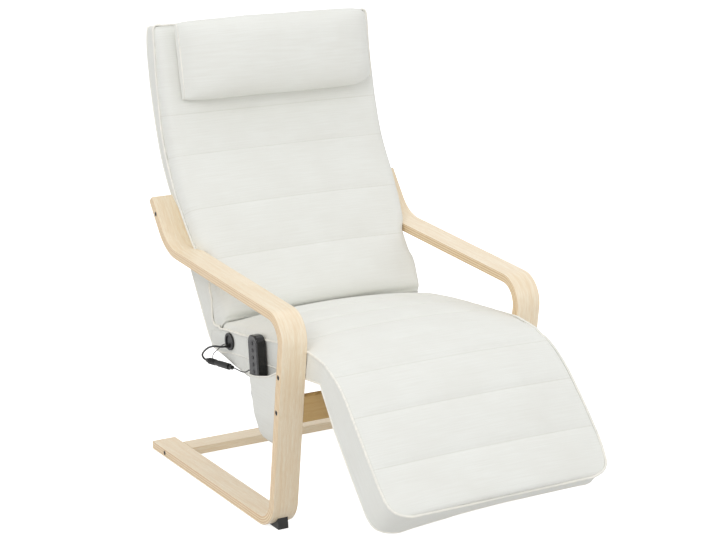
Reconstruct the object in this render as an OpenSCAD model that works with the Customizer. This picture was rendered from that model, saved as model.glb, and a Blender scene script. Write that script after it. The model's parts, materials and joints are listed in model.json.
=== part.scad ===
// Reflexology chair: a bentwood lounge recliner with an adjustable footrest,
// vibration motors and a lumbar heating mat inside one long box cushion.
// Front faces -Y, up is +Z, all sizes in millimetres.

/* [Side frames] */
// Width across the outer edges of the side frames
overall_width = 665; // [640:1:700]
// Width of the bent laminated strip
strip_width = 62; // [55:1:70]
// Thickness of the bent laminated strip
strip_thickness = 20; // [16:0.5:25]
// Rear end of the runner, on the strip's middle line
runner_end = [480, 10]; // [-200:0.5:600]
// Corner where the runner turns up into the leg
leg_foot = [-135.5, 10]; // [-250:0.5:100]
// Corner where the leg turns back into the arm
leg_head = [-196, 491]; // [-300:0.5:600]
// Corner where the arm turns up beside the back
arm_corner = [372, 526]; // [300:0.5:700]
// Upper end of the arm beside the back
arm_end = [453, 632]; // [300:0.5:700]
// Bend radius at the foot, at the arm's front and at the arm's rear
frame_bends = [60, 55, 110]; // [40:1:160]

/* [Floor rail and stretcher] */
// Depth of the rail between the runners
floor_rail_depth = 51; // [40:1:70]
// Thickness of the rail between the runners
floor_rail_thickness = 20; // [15:0.5:25]
// Middle of the floor rail and its bolts
floor_rail_middle = [410, 10]; // [0:0.5:450]
// Height of the board between the legs
stretcher_height = 60; // [45:1:80]
// Thickness of the board between the legs
stretcher_thickness = 18; // [12:0.5:20]
// Middle of the stretcher on the legs
stretcher_middle = [-169.5, 283]; // [-200:0.5:320]
// Length of the wedge under each front bend
wedge_length = 52; // [40:1:70]
// Height of the wedge at its front face
wedge_height = 30; // [20:1:40]
// Width of the wedge
wedge_width = 25; // [18:1:40]
// Front edge of the wedge on the floor
wedge_front = -140; // [-160:0.5:-120]

/* [Seat and back rails] */
// Width of the bent rail that carries seat and back
rail_width = 45; // [35:1:55]
// Thickness of the bent rail
rail_thickness = 20; // [15:0.5:25]
// Gap between the rail and the side frame
rail_gap = 4; // [2:0.5:8]
// Pivot of the footrest
pivot = [-260, 373.5]; // [-320:0.5:420]
// Sharp corner between seat and back
seat_corner = [235, 325.5]; // [180:0.5:380]
// Sharp corner behind the shoulders
shoulder_corner = [490, 692]; // [400:0.5:760]
// Upper end of the rail
rail_top = [554.6, 1000]; // [480:0.5:1060]
// Bend radius at the seat and at the shoulders
rail_bends = [70, 350]; // [40:1:450]
// Distance from the pivot to the end of the seat rail
pivot_clearance = 12; // [10.5:0.5:20]
// Bolt through the leg into the rail
leg_bolt = [-179.7, 365]; // [-250:0.1:420]
// Bolt through the arm end into the rail
arm_bolt = [426, 600]; // [350:0.1:660]

/* [Slats] */
// Width of a slat
slat_width = 40; // [25:1:60]
// Thickness of a slat
slat_thickness = 12; // [8:0.5:16]
// Depth of a slat's end in the rail
tenon_length = 12; // [8:0.5:18]
// Play round a slat's end
tenon_play = 0.05; // [0.02:0.01:0.2]
// Height of the slats' middle above the rail's middle line
slat_lift = -0.6; // [-4:0.1:4]
// Width of the rail across the top of the back
top_rail_width = 54; // [40:1:70]
// Places of the seat slats along the rail
seat_slat_places = [190, 270, 350, 430]; // [100:1:440]
// Places of the lower back slats along the rail
lower_slat_places = [560, 635, 710, 778]; // [540:1:790]
// Places of the upper back slats along the rail
upper_slat_places = [862, 942, 1022, 1104]; // [850:1:1140]
// Place of the front cross rail along the rail
front_rail_place = 112; // [100:1:140]
// Place of the top cross rail along the rail
top_rail_place = 1200; // [1150:1:1210]
// Places of the footrest slats from the pivot
footrest_slat_places = [92, 158, 228, 298]; // [60:1:320]

/* [Fasteners] */
// Radius of a frame bolt
bolt_radius = 3; // [2.5:0.1:4]
// Radius of a bolt head
bolt_head_radius = 5.5; // [4:0.1:8]
// Depth of a bolt head
bolt_head_depth = 4; // [2:0.1:6]
// Depth of the head below the strip's edge
bolt_sink = 0.8; // [0:0.1:3]
// Play round a bolt in the wood
bolt_play = 0.3; // [0.1:0.05:0.6]
// Reach of a bolt past the strip's inner edge
bolt_reach = 44; // [30:1:60]
// Radius of a barrel nut
barrel_radius = 5; // [4:0.1:7]
// Length of a barrel nut
barrel_length = 14; // [10:0.5:18]
// Distance of a barrel nut past the strip's inner edge
barrel_reach = 36; // [20:1:50]
// Radius of the spacer between rail and side frame
spacer_radius = 9; // [7:0.5:12]

/* [Footrest] */
// Angle of the footrest below level in the photographed pose
footrest_drop = 46.9; // [30:0.1:60]
// Length of the footrest rails from the pivot
footrest_length = 336; // [250:1:360]
// Radius of the hinge cup
cup_radius = 18; // [14:0.5:22]
// Thickness of the hinge cup
cup_thickness = 7; // [5:0.5:10]
// Thickness of a hinge plate
plate_thickness = 3; // [2:0.1:4]
// Width of a hinge plate
plate_width = 16; // [12:0.5:19]
// Length of a hinge plate from the pivot
plate_length = 62; // [50:1:90]
// Radius of the toothed wheel in the hinge
wheel_radius = 12; // [10:0.5:14]
// Radius of the hinge pin
pin_radius = 3.5; // [2.5:0.1:5]
// Play of the hinge pin
pin_play = 0.05; // [0.02:0.01:0.1]
// Teeth of the wheel
wheel_teeth = 12; // [8:1:18]

/* [Cushion] */
// Gap between the rail and the cushion
pad_gap = 0.2; // [0.1:0.1:1]
// Rise of the seat cushion's middle
seat_crown = 16; // [4:1:30]
// Rise of the back cushion's middle
back_crown = 18; // [4:1:30]
// Rise of the footrest cushion's middle
footrest_crown = 12; // [4:1:30]
// Depth of a stitched channel
channel_depth = 7; // [2:0.5:14]
// Half length over which a channel fades
channel_reach = 17; // [10:1:40]
// Stitched channels of the back, along the rail
back_channels = [655, 780, 935, 1045]; // [540:1:1200]
// Stitched channels of the seat, along the rail
seat_channels = [95, 225, 350]; // [40:1:430]
// Stitched channels of the footrest, from the pivot
footrest_channels = [74, 196]; // [40:1:300]
// Thickness of the cover cloth
cloth = 2; // [1:0.5:4]
// Thickness of the lining cloth
lining_thickness = 1.2; // [0.8:0.1:3]
// Distance of the lining's edge from the rail
lining_inset = 17.5; // [4:0.5:60]
// Height of the lining's middle above the rail's middle line
lining_lift = 6.8; // [6:0.1:9]

/* [Headrest pillow] */
// Length of the pillow across the chair
pillow_length = 512; // [450:1:560]
// Height of the pillow along the back
pillow_height = 186; // [120:1:220]
// Thickness of the pillow
pillow_thickness = 78; // [50:1:110]
// Middle of the pillow along the rail
pillow_place = 1167; // [1050:1:1220]
// Height of the pillow's back above the rail's middle line
pillow_lift = 62.8; // [50:0.1:90]
// Width of a pillow strap
strap_width = 30; // [20:1:50]
// Middle of a pillow strap from the chair's middle
strap_place = 150; // [80:1:220]

/* [Massage motors] */
// Radius of a motor housing
puck_radius = 39; // [30:0.5:45]
// Height of a motor housing
puck_height = 28; // [20:0.5:34]
// Wall of a motor housing
puck_wall = 2; // [1.5:0.1:3]
// Thickness of a housing's cap
cap_thickness = 2; // [1.5:0.1:3]
// Gap between the heating mat and a motor housing
puck_gap = 6.5; // [3:0.5:20]
// Play between a housing and the foam
puck_play = 0.6; // [0.2:0.1:2]
// Radius of a motor can
can_radius = 10; // [7:0.5:11]
// Length of a motor can
can_length = 26; // [18:0.5:30]
// Radius of a motor shaft
shaft_radius = 1; // [0.8:0.1:1.5]
// Play round a motor shaft
shaft_play = 0.05; // [0.02:0.01:0.1]
// Radius of the eccentric weight
weight_radius = 9; // [6:0.5:10]
// Thickness of the eccentric weight
weight_thickness = 8; // [4:0.5:10]
// Place of the seat motors along the rail
thigh_place = 164; // [100:1:300]
// Place of the lumbar motors along the rail
lumbar_place = 650; // [600:1:700]
// Place of the shoulder motors along the rail
shoulder_place = 923; // [880:1:1000]
// Place of the footrest motors from the pivot
calf_place = 150; // [100:1:220]

/* [Lumbar heating] */
// Width of the heating mat
mat_width = 140; // [100:1:146]
// Height of the heating mat
mat_height = 200; // [120:1:240]
// Thickness of the heating mat
mat_thickness = 3; // [1:0.5:5]
// Width of a heating wire
wire_width = 3; // [1:0.5:5]
// Depth of the foam over the mat
mat_depth = 48; // [30:1:60]
// Play round the mat and the insert
mat_play = 0.4; // [0.2:0.1:1]

/* [Handset and pocket] */
// Width of the handset
handset_width = 45; // [36:1:60]
// Height of the handset
handset_height = 148; // [110:1:180]
// Thickness of the handset
handset_thickness = 23; // [16:0.5:30]
// Corner radius of the handset
handset_corner = 10; // [4:0.5:20]
// Wall of the handset's shells
handset_wall = 2; // [1.5:0.1:3]
// Distance of the handset's middle from the flap
handset_out = 14.2; // [8:0.1:30]
// Middle of the handset's lower end in the side view
handset_foot = [-5.7, 258]; // [-60:0.1:300]
// Lean of the handset
handset_lean = 6.3; // [0:0.1:15]
// Radius of a handset button
button_radius = 4.4; // [3:0.1:7]
// Play round a button
button_play = 0.1; // [0.05:0.05:0.3]
// Height of a button over the shell
button_rise = 1.6; // [0.8:0.1:3]
// Height of the lowest button
first_button = 66; // [30:1:90]
// Distance from button to button
button_step = 16; // [12:0.5:24]
// Thickness of the pocket from the flap outwards
pocket_depth = 28.6; // [24:0.1:45]

/* [Cable] */
// Radius of the grommet's flange
grommet_radius = 20; // [14:0.5:26]
// Thickness of the grommet's flange
grommet_thickness = 4; // [2:0.5:6]
// Middle of the grommet on the flap
grommet_middle = [168, 346]; // [100:0.5:400]
// Radius of the thick lead
lead_radius = 2.4; // [1.5:0.1:3]
// Radius of the thin lead
thin_lead_radius = 1.5; // [1.2:0.1:3]
// Radius of the tether
tether_radius = 1; // [0.8:0.1:1.5]
// Radius of the connector
connector_radius = 7.5; // [5:0.5:10]
// Thickness of the wiring under the foam
harness_thickness = 2.2; // [1:0.1:2.4]
// Width of the wiring's trunk
harness_width = 8; // [4:0.5:14]

/* [Hidden] */
$fn = 48;
// The outlines below lie this far behind the middle of the chair's depth
depth_shift = -5.15;
half_width = overall_width / 2;
inner_face = half_width - strip_width;
rail_outer = inner_face - rail_gap;
rail_inner = rail_outer - rail_width;
lining_half_width = rail_inner - lining_inset;
puck_place = mat_width / 2 + puck_gap + puck_radius;
wood = [0.87, 0.76, 0.60];
cream = [0.95, 0.94, 0.89];
black = [0.08, 0.08, 0.09];
steel = [0.62, 0.62, 0.64];
blue = [0.30, 0.62, 0.86];

// Paths lie in the side view, as [depth, height]
function unit(v) = v / norm(v);
function turn(a, b) = atan2(a[0] * b[1] - a[1] * b[0], a * b);
function left_of(v) = [-v[1], v[0]];
function spin(v, angle) = [v[0] * cos(angle) - v[1] * sin(angle), v[0] * sin(angle) + v[1] * cos(angle)];
function bend(a, b, c, radius, steps) =
  let (d = unit(b - a), e = unit(c - b), angle = turn(d, e), side = sign(angle),
    start = b - d * radius * tan(abs(angle) / 2), centre = start + left_of(d) * radius * side)
  [for (i = [0 : steps]) centre + spin(start - centre, angle * i / steps)];
function bent_path(corners, radii, steps) =
  let (last = len(corners) - 1)
  [each [corners[0]],
   for (i = [1 : last - 1]) each bend(corners[i - 1], corners[i], corners[i + 1], radii[i - 1], steps[i - 1]),
   each [corners[last]]];
function tangent(p, i) = unit(p[min(i + 1, len(p) - 1)] - p[max(i - 1, 0)]);
function beside(p, distance) = [for (i = [0 : len(p) - 1]) p[i] + left_of(tangent(p, i)) * distance];
function back_to_front(p) = [for (i = [len(p) - 1 : -1 : 0]) p[i]];
function ribbon(p, low, high) = concat(beside(p, low), back_to_front(beside(p, high)));
function sums(p, i = 0, total = 0) =
  i >= len(p) ? [] : concat([total], sums(p, i + 1, total + (i < len(p) - 1 ? norm(p[i + 1] - p[i]) : 0)));

frame_steps = [14, 14, 8];
frame_path = bent_path([runner_end, leg_foot, leg_head, arm_corner, arm_end], frame_bends, frame_steps);
seat_way = unit(seat_corner - pivot);
rail_start = pivot + seat_way * pivot_clearance;
rail_steps = [10, 10];
rail_path = bent_path([rail_start, seat_corner, shoulder_corner, rail_top], rail_bends, rail_steps);
rail_sums = sums(rail_path);
rail_total = rail_sums[len(rail_sums) - 1];
rail_depths = [for (i = [0 : len(rail_path) - 1]) [rail_sums[i], rail_path[i][0]]];
rail_heights = [for (i = [0 : len(rail_path) - 1]) [rail_sums[i], rail_path[i][1]]];
top_way = unit(rail_top - shoulder_corner);
// A place past either end of the rail continues straight
function rail_spot(s) =
  s < 0 ? rail_start + seat_way * s
  : s > rail_total ? rail_top + top_way * (s - rail_total)
  : [lookup(s, rail_depths), lookup(s, rail_heights)];
look = 3;
function rail_way(s) = unit(rail_spot(s + look) - rail_spot(s - look));
function rail_angle(s) = atan2(rail_way(s)[1], rail_way(s)[0]);
foot_way = [-cos(footrest_drop), -sin(footrest_drop)];
foot_up = [-sin(footrest_drop), cos(footrest_drop)];
function foot_spot(f) = pivot + foot_way * f;
eps = 0.01;
cut = 60;

// Extrudes a side view outline from one x to another
module across(x_from, x_to) {
  translate([x_from, 0, 0])
    rotate([90, 0, 90])
      linear_extrude(x_to - x_from)
        children();
}

// A rod along X through a side view point
module rod(x_from, x_to, spot, radius) {
  translate([x_from, spot[0], spot[1]])
    rotate([0, 90, 0])
      cylinder(h = x_to - x_from, r = radius);
}

// Local frame on the rail: Y along the rail, Z towards the sitter
module on_rail(s) {
  translate([0, rail_spot(s)[0], rail_spot(s)[1]])
    rotate([rail_angle(s), 0, 0])
      children();
}

// Local frame on the footrest: -Y away from the pivot, Z towards the sitter
module on_footrest(f) {
  translate([0, foot_spot(f)[0], foot_spot(f)[1]])
    rotate([footrest_drop, 0, 0])
      children();
}

module placed() {
  translate([0, depth_shift, 0])
    children();
}

module both_sides() {
  children();
  mirror([1, 0, 0])
    children();
}

module block(size, middle) {
  translate(middle)
    cube(size, center = true);
}

// Bolts run from the outer edge of the strip inwards, at negative X
bolt_spots = [arm_bolt, leg_bolt, stretcher_middle, floor_rail_middle];
head_start = -half_width + bolt_sink;
barrel_x = -inner_face + barrel_reach;
bolt_tip = -inner_face + bolt_reach;

module bolt_bores() {
  for (spot = bolt_spots) {
    rod(-half_width - cut, head_start + bolt_head_depth, spot, bolt_head_radius + bolt_play);
    rod(-half_width - cut, bolt_tip + bolt_head_depth, spot, bolt_radius + bolt_play);
  }
}

module side_frame() {
  difference() {
    across(-half_width, -inner_face)
      polygon(ribbon(frame_path, -strip_thickness / 2, strip_thickness / 2));
    bolt_bores();
  }
}

module side_frame_right() {
  color(wood) placed()
    side_frame();
}

module side_frame_left() {
  color(wood) placed()
    mirror([1, 0, 0])
      side_frame();
}

// Angles of the four barrel nuts in the side view
leg_way = unit(leg_head - leg_foot);
leg_angle = atan2(leg_way[1], leg_way[0]);
function barrel_angle(i) =
  i == 0 ? rail_angle(arm_place)
  : i == 1 ? rail_angle(leg_place)
  : i == 2 ? leg_angle
  : 0;
arm_place = 812;
leg_place = 69;

module barrel(i, radius, low, high) {
  translate([barrel_x, bolt_spots[i][0], bolt_spots[i][1]])
    rotate([barrel_angle(i), 0, 0])
      translate([0, 0, low])
        cylinder(h = high - low, r = radius);
}

barrel_play = 0.05;

module barrel_bores() {
  for (i = [0 : 3]) {
    barrel(i, barrel_radius + barrel_play, -cut / 4, barrel_length / 2);
  }
}

module rear_floor_rail() {
  color(wood) placed()
    difference() {
      block([2 * inner_face, floor_rail_depth, floor_rail_thickness],
        [0, floor_rail_middle[0], floor_rail_middle[1]]);
      both_sides() {
        bolt_bores();
        barrel_bores();
      }
    }
}

module front_stretcher() {
  color(wood) placed()
    difference() {
      translate([0, stretcher_middle[0], stretcher_middle[1]])
        rotate([leg_angle, 0, 0])
          cube([2 * inner_face, stretcher_height, stretcher_thickness], center = true);
      both_sides() {
        bolt_bores();
        barrel_bores();
      }
    }
}

wedge_x = half_width - strip_width / 2;

module foot_wedge() {
  difference() {
    across(-wedge_x - wedge_width / 2, -wedge_x + wedge_width / 2)
      polygon([[wedge_front, 0], [wedge_front + wedge_length, 0], [wedge_front + wedge_length, wedge_height],
        [wedge_front + wedge_height / 8, wedge_height]]);
    across(-half_width, -inner_face)
      polygon(ribbon(frame_path, -strip_thickness / 2 - cut, strip_thickness / 2));
  }
}

module foot_wedges() {
  color(black) placed()
    both_sides()
      foot_wedge();
}

// Bent rails with mortises for the slats
slat_places = concat(seat_slat_places, lower_slat_places, upper_slat_places);

module slat(width, thickness, lift, play) {
  block([2 * (rail_inner + tenon_length + play), width + 2 * play, thickness + 2 * play], [0, 0, lift]);
}

module slats_on_rail(play) {
  for (s = slat_places) {
    on_rail(s)
      slat(slat_width, slat_thickness, slat_lift, play);
  }
}

module rails_across(play) {
  on_rail(front_rail_place)
    slat(slat_width, slat_thickness, slat_lift, play);
  on_rail(top_rail_place)
    slat(top_rail_width, slat_thickness, slat_lift, play);
}

// The play is left out at the tenon's end, so that it stands on the mortise
module mortises() {
  intersection() {
    union() {
      slats_on_rail(tenon_play);
      rails_across(tenon_play);
    }
    block([2 * (rail_inner + tenon_length), 4 * rail_top[1], 4 * rail_top[1]], [0, 0, 0]);
  }
}

module seat_rail() {
  difference() {
    across(-rail_outer, -rail_inner)
      polygon(ribbon(rail_path, -rail_thickness / 2, rail_thickness / 2));
    mortises();
    bolt_bores();
    barrel_bores();
    for (s = cup_screw_places) {
      cup_screw(s, screw_radius + screw_play);
    }
  }
}

module seat_rail_right() {
  color(wood) placed()
    seat_rail();
}

module seat_rail_left() {
  color(wood) placed()
    mirror([1, 0, 0])
      seat_rail();
}

module frame_slats() {
  color(wood) placed()
    slats_on_rail(0);
}

module cross_rails() {
  color(wood) placed()
    rails_across(0);
}

socket_radius = 2;
socket_depth = 2.4;

module frame_bolt(spot) {
  difference() {
    union() {
      rod(head_start, head_start + bolt_head_depth, spot, bolt_head_radius);
      rod(head_start, bolt_tip, spot, bolt_radius);
    }
    rod(head_start - cut, head_start + socket_depth, spot, socket_radius);
  }
}

module frame_bolts() {
  color(black) placed()
    both_sides()
      for (spot = bolt_spots) {
        frame_bolt(spot);
      }
}

thread_grip = 0.05;

module barrel_nuts() {
  color(steel) placed()
    both_sides()
      for (i = [0 : 3]) {
        difference() {
          barrel(i, barrel_radius, -barrel_length / 2, barrel_length / 2);
          rod(-half_width, 0, bolt_spots[i], bolt_radius - thread_grip);
        }
      }
}

module rail_spacers() {
  color(black) placed()
    both_sides()
      for (spot = [arm_bolt, leg_bolt]) {
        difference() {
          rod(-inner_face, -rail_outer, spot, spacer_radius);
          rod(-inner_face - cut, -rail_outer + cut, spot, bolt_radius + bolt_play);
        }
      }
}

// Ratchet hinges on the inner edges of the rails
cup_wall = 2;
cup_outer_x = -rail_inner;
cup_inner_x = cup_outer_x + cup_thickness;
wheel_x = cup_outer_x + cup_wall;
cup_bore = 15;
screw_radius = 2;
screw_play = 0.05;
screw_length = 14;
screw_head_radius = 3.8;
screw_head_depth = 1.6;
cup_screw_places = [14, 36];
arm_screw_places = [34, 54];

module cup_screw(s, radius) {
  rod(cup_outer_x - screw_length, cup_outer_x + plate_thickness, rail_spot(s), radius);
}

module arm_screw(f, radius) {
  rod(cup_outer_x - screw_length, arm_x + plate_thickness, foot_spot(f), radius);
}

module hinge_cup() {
  difference() {
    union() {
      rod(cup_outer_x, cup_inner_x, pivot, cup_radius);
      on_rail(plate_length / 2 - pivot_clearance)
        block([plate_thickness, plate_length, plate_width], [cup_outer_x + plate_thickness / 2, 0, 0]);
    }
    rod(wheel_x, cup_inner_x + cut, pivot, cup_bore);
    rod(cup_outer_x - cut, cup_inner_x + cut, pivot, pin_radius + pin_play);
    for (s = cup_screw_places) {
      cup_screw(s, screw_radius + screw_play);
    }
  }
}

// A bent leaf lies against the cup's wall, and its tip points at the wheel
spring_band = 0.8;
spring_tip = 1.6;
spring_tip_distance = 13.9;
spring_side = 14;
spring_angle = 112;

module detent_spring() {
  difference() {
    union() {
      intersection() {
        difference() {
          rod(wheel_x + arm_gap, cup_inner_x - arm_gap, pivot, cup_bore);
          rod(wheel_x - cut, cup_inner_x + cut, pivot, cup_bore - spring_band);
        }
        translate([0, pivot[0], pivot[1]])
          rotate([spring_angle, 0, 0])
            translate([0, cup_bore, 0])
              cube([2 * rail_outer, 2 * spring_side, 2 * spring_side], center = true);
      }
      rod(wheel_x + arm_gap, cup_inner_x - arm_gap,
        pivot + spring_tip_distance * [cos(spring_angle), sin(spring_angle)], spring_tip);
    }
    difference() {
      rod(wheel_x - cut, cup_inner_x + cut, pivot, cup_radius);
      rod(wheel_x - 2 * cut, cup_inner_x + 2 * cut, pivot, cup_bore);
    }
  }
}

module detent_springs() {
  color(steel) placed()
    both_sides()
      detent_spring();
}

module hinge_screws() {
  color(steel) placed()
    both_sides()
      for (s = cup_screw_places) {
        cup_screw(s, screw_radius);
        rod(cup_outer_x + plate_thickness, cup_outer_x + plate_thickness + screw_head_depth,
          rail_spot(s), screw_head_radius);
      }
}

module footrest_hinge_screws() {
  color(steel) placed()
    both_sides()
      for (f = arm_screw_places) {
        arm_screw(f, screw_radius);
        rod(arm_x + plate_thickness, arm_x + plate_thickness + screw_head_depth, foot_spot(f), screw_head_radius);
      }
}

module hinge_cups() {
  color(steel) placed()
    both_sides()
      hinge_cup();
}

arm_gap = 0.4;
arm_x = cup_inner_x + arm_gap;
wheel_root_share = 0.86;
arm_pad_start = 23;

function toothed(i) = (i % 2 == 0 ? wheel_radius : wheel_radius * wheel_root_share);
wheel_outline = [for (i = [0 : 2 * wheel_teeth - 1])
  [toothed(i) * cos(180 * i / wheel_teeth), toothed(i) * sin(180 * i / wheel_teeth)]];

arm_disc = 13;
arm_disc_steps = 20;
arm_neck = asin(plate_width / 2 / arm_disc);
arm_outline = concat(
  [for (i = [0 : arm_disc_steps]) pivot + spin(foot_way * arm_disc, arm_neck + (360 - 2 * arm_neck) * i / arm_disc_steps)],
  [for (side = [-1, 1]) foot_spot(plate_length) + side * left_of(foot_way) * plate_width / 2]);

module hinge_arm() {
  difference() {
    union() {
      translate([wheel_x + arm_gap, pivot[0], pivot[1]])
        rotate([90, 0, 90])
          linear_extrude(arm_x - wheel_x)
            polygon(wheel_outline);
      across(arm_x, arm_x + plate_thickness)
        polygon(arm_outline);
      on_footrest(arm_pad_start + (plate_length - arm_pad_start) / 2)
        block([arm_x - cup_outer_x + plate_thickness, plate_length - arm_pad_start, plate_width],
          [(arm_x + plate_thickness + cup_outer_x) / 2, 0, 0]);
    }
    rod(cup_outer_x - cut, cup_inner_x + cut, pivot, pin_radius + pin_play);
    for (f = arm_screw_places) {
      arm_screw(f, screw_radius + screw_play);
    }
  }
}

module hinge_arms() {
  color(steel) placed()
    both_sides()
      hinge_arm();
}

pin_head_radius = 6;
pin_head = 1.6;
pin_tail = 10;

module hinge_pins() {
  color(steel) placed()
    both_sides() {
      rod(cup_outer_x - pin_tail, arm_x + plate_thickness + pin_head, pivot, pin_radius);
      rod(arm_x + plate_thickness, arm_x + plate_thickness + pin_head, pivot, pin_head_radius);
    }
}

// Footrest woodwork
nose_radius = rail_thickness / 2;
nose_steps = 12;
footrest_outline = concat(
  [for (i = [0 : nose_steps]) pivot + spin(foot_up * nose_radius, -180 * i / nose_steps)],
  [foot_spot(footrest_length) - foot_up * nose_radius, foot_spot(footrest_length) + foot_up * nose_radius]);

module footrest_rail() {
  difference() {
    across(-rail_outer, -rail_inner)
      polygon(footrest_outline);
    footrest_mortises();
    rod(-rail_inner - pin_tail - pin_play, -rail_inner + cut, pivot, pin_radius + pin_play);
    for (f = arm_screw_places) {
      arm_screw(f, screw_radius + screw_play);
    }
  }
}

module slats_on_footrest(play) {
  for (f = footrest_slat_places) {
    on_footrest(f)
      slat(slat_width, slat_thickness, slat_lift, play);
  }
}

module footrest_mortises() {
  intersection() {
    slats_on_footrest(tenon_play);
    block([2 * (rail_inner + tenon_length), 4 * rail_top[1], 4 * rail_top[1]], [0, 0, 0]);
  }
}

module footrest_rails() {
  color(wood) placed()
    both_sides()
      footrest_rail();
}

module footrest_slats() {
  color(wood) placed()
    slats_on_footrest(0);
}

// Soft pieces are lofted through rings, each ring lying across the chair
function quads(rings, points) =
  [for (i = [0 : rings - 2], j = [0 : points - 1])
    [i * points + j, i * points + (j + 1) % points, (i + 1) * points + (j + 1) % points, (i + 1) * points + j]];
function halves(faces) = [for (f = faces) each [[f[0], f[1], f[2]], [f[0], f[2], f[3]]]];

module loft(rings) {
  points = len(rings[0]);
  polyhedron(points = [for (r = rings) each r],
    faces = concat([[for (j = [points - 1 : -1 : 0]) j]],
      halves(quads(len(rings), points)),
      [[for (j = [0 : points - 1]) (len(rings) - 1) * points + j]]), convexity = 8);
}

// Half of a cushion's section as shares of half width and edge height
side_shares = [[0.985, 0], [0.997, 0.14], [0.988, 0.5], [1, 0.86], [0.982, 1]];
top_shares = [0.88, 0.72, 0.5, 0.25, 0];
crown_power = 2.4;
function dome(share) = 1 - pow(share, crown_power);
function half_section(w, h, crown, dip) = concat(
  [for (s = side_shares) [s[0] * w, s[1] * h]],
  [for (t = top_shares) [t * w, h + crown * dome(t) - dip * dome(t * t)]]);
function mirrored(p) = [for (i = [len(p) - 2 : -1 : 0]) [-p[i][0], p[i][1]]];
function section(w, h, crown, dip) = let (p = half_section(w, h, crown, dip)) concat(p, mirrored(p));
function ring_at(spot, up, low, w, h, crown, dip) =
  [for (q = section(w, h, crown, dip)) [q[0], spot[0] + up[0] * (low + q[1]), spot[1] + up[1] * (low + q[1])]];
function channel(s, places, i = 0) =
  i >= len(places) ? 0
  : let (t = abs(s - places[i]) / channel_reach)
    max(t < 1 ? channel_depth * (1 - t) * (1 - t) * (1 + 2 * t) : 0, channel(s, places, i + 1));

// Places counted from the ends of the footrest's rails
function from_end(table) = [for (q = table) [footrest_length + q[0], q[1]]];

// Edge height of the cushion's top above the rail's middle line
seat_tops = [[6, 44], [20, 48], [70, 57], [160, 61], [260, 63], [380, 58], [452, 50], [468, 42]];
back_tops = [[500, 44], [512, 62], [534, 75], [597, 79], [650, 76], [710, 76], [782, 77], [857, 75],
  [956, 70], [1030, 60], [1060, 58], [1183, 58], [1240, 54], [1256, 40]];
foot_tops = concat([[14, 54], [24, 60], [84, 73], [150, 75], [240, 76]], from_end([[-36, 78], [10, 78], [19, 75], [21, 71]]));
// Underside above the rail's middle line, raised over the hinges
seat_unders = [[6, 21], [34, 20], [58, 10.2], [470, 10.2]];
back_unders = [[500, 10.2], [1237, 10.2], [1256, 14]];
foot_unders = concat([[14, 21], [34, 20], [58, 10.2]], from_end([[1, 10.2], [3, -3], [15, -5], [21, 1]]));
// How far the sides lie inside the side frames' inner faces, and below 0 how far they stand out past them
seat_insets = [[6, 1.9], [40, 2.9], [440, 2.9], [468, 8.5]];
back_insets = [[500, 8.5], [520, 2.9], [790, 2.9], [850, -2.5], [920, -6.5], [1020, -10.5], [1230, -12.5], [1256, -1.5]];
foot_insets = concat([[14, -1.5], [40, -5.5]],
  from_end([[-46, -7.5], [-24, -3.5], [-8, 3.5], [4, 14.5], [13, 27.5], [19, 42.5], [21, 52.5]]));
seat_stations = [6, 12, 24, 40, 58, 72, 84, 95, 106, 118, 140, 170, 200, 212, 225, 238, 250, 280, 310, 332, 341, 350,
  359, 368, 400, 430, 450, 462, 468];
back_stations = [500, 505, 512, 522, 536, 560, 590, 620, 640, 648, 655, 662, 670, 700, 740, 764, 772, 780, 788, 796,
  830, 870, 900, 918, 926, 935, 944, 952, 990, 1028, 1036, 1045, 1054, 1062, 1100, 1150, 1200, 1232, 1244, 1252, 1256];
foot_stations = concat([14, 18, 26, 40, 56, 65, 74, 83, 92, 120, 150, 176, 186, 196, 206, 216, 250],
  [for (f = [-46, -24, -8, 1, 3, 9, 15, 19, 21]) footrest_length + f]);
fade_length = 30;
crown_rest = 0.35;
function crown_share(s, from, to) =
  crown_rest + (1 - crown_rest) * max(0, min(1, min(s - from, to - s) / fade_length));

function rail_ring(s, unders, tops, insets, crown, places, from, to) =
  let (low = lookup(s, unders), high = lookup(s, tops))
  ring_at(rail_spot(s), left_of(rail_way(s)), low, inner_face - lookup(s, insets), high - low,
    crown * crown_share(s, from, to), channel(s, places));

back_start = 500;
back_end = 1256;
seat_start = 0;
seat_back = 468;
back_crown_shares = [[500, 0.4], [560, 1], [900, 1], [1000, 0.3], [1060, 0.25], [1256, 0.25]];

module motor_pocket(side) {
  translate([side * puck_place, 0, -cut])
    cylinder(h = cut + puck_height, r = puck_radius + puck_play, $fn = puck_facets);
}

under_lift = rail_thickness / 2 + pad_gap;

module motor_pockets() {
  for (side = [-1, 1]) {
    translate([0, 0, under_lift])
      motor_pocket(side);
  }
}

module back_cushion() {
  color(cream) placed()
    difference() {
      loft([for (s = back_stations)
        rail_ring(s, back_unders, back_tops, back_insets, back_crown * lookup(s, back_crown_shares),
          back_channels, back_start, back_end)]);
      on_rail(lumbar_place)
        motor_pockets();
      on_rail(shoulder_place)
        motor_pockets();
      on_rail(lumbar_place)
        block([mat_width + 2 * mat_play, mat_height + 2 * mat_play, 2 * mat_depth], [0, 0, under_lift]);
    }
}

module seat_cushion() {
  color(cream) placed()
    difference() {
      loft([for (s = seat_stations)
        rail_ring(s, seat_unders, seat_tops, seat_insets, seat_crown, seat_channels, seat_start, seat_back)]);
      on_rail(thigh_place)
        motor_pockets();
    }
}

foot_fade_start = -30;
foot_fade_past = 44;
function foot_ring(f) =
  let (low = lookup(f, foot_unders), high = lookup(f, foot_tops))
  ring_at(foot_spot(f), foot_up, low, inner_face - lookup(f, foot_insets), high - low,
    footrest_crown * crown_share(f, foot_fade_start, footrest_length + foot_fade_past), channel(f, footrest_channels));

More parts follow.
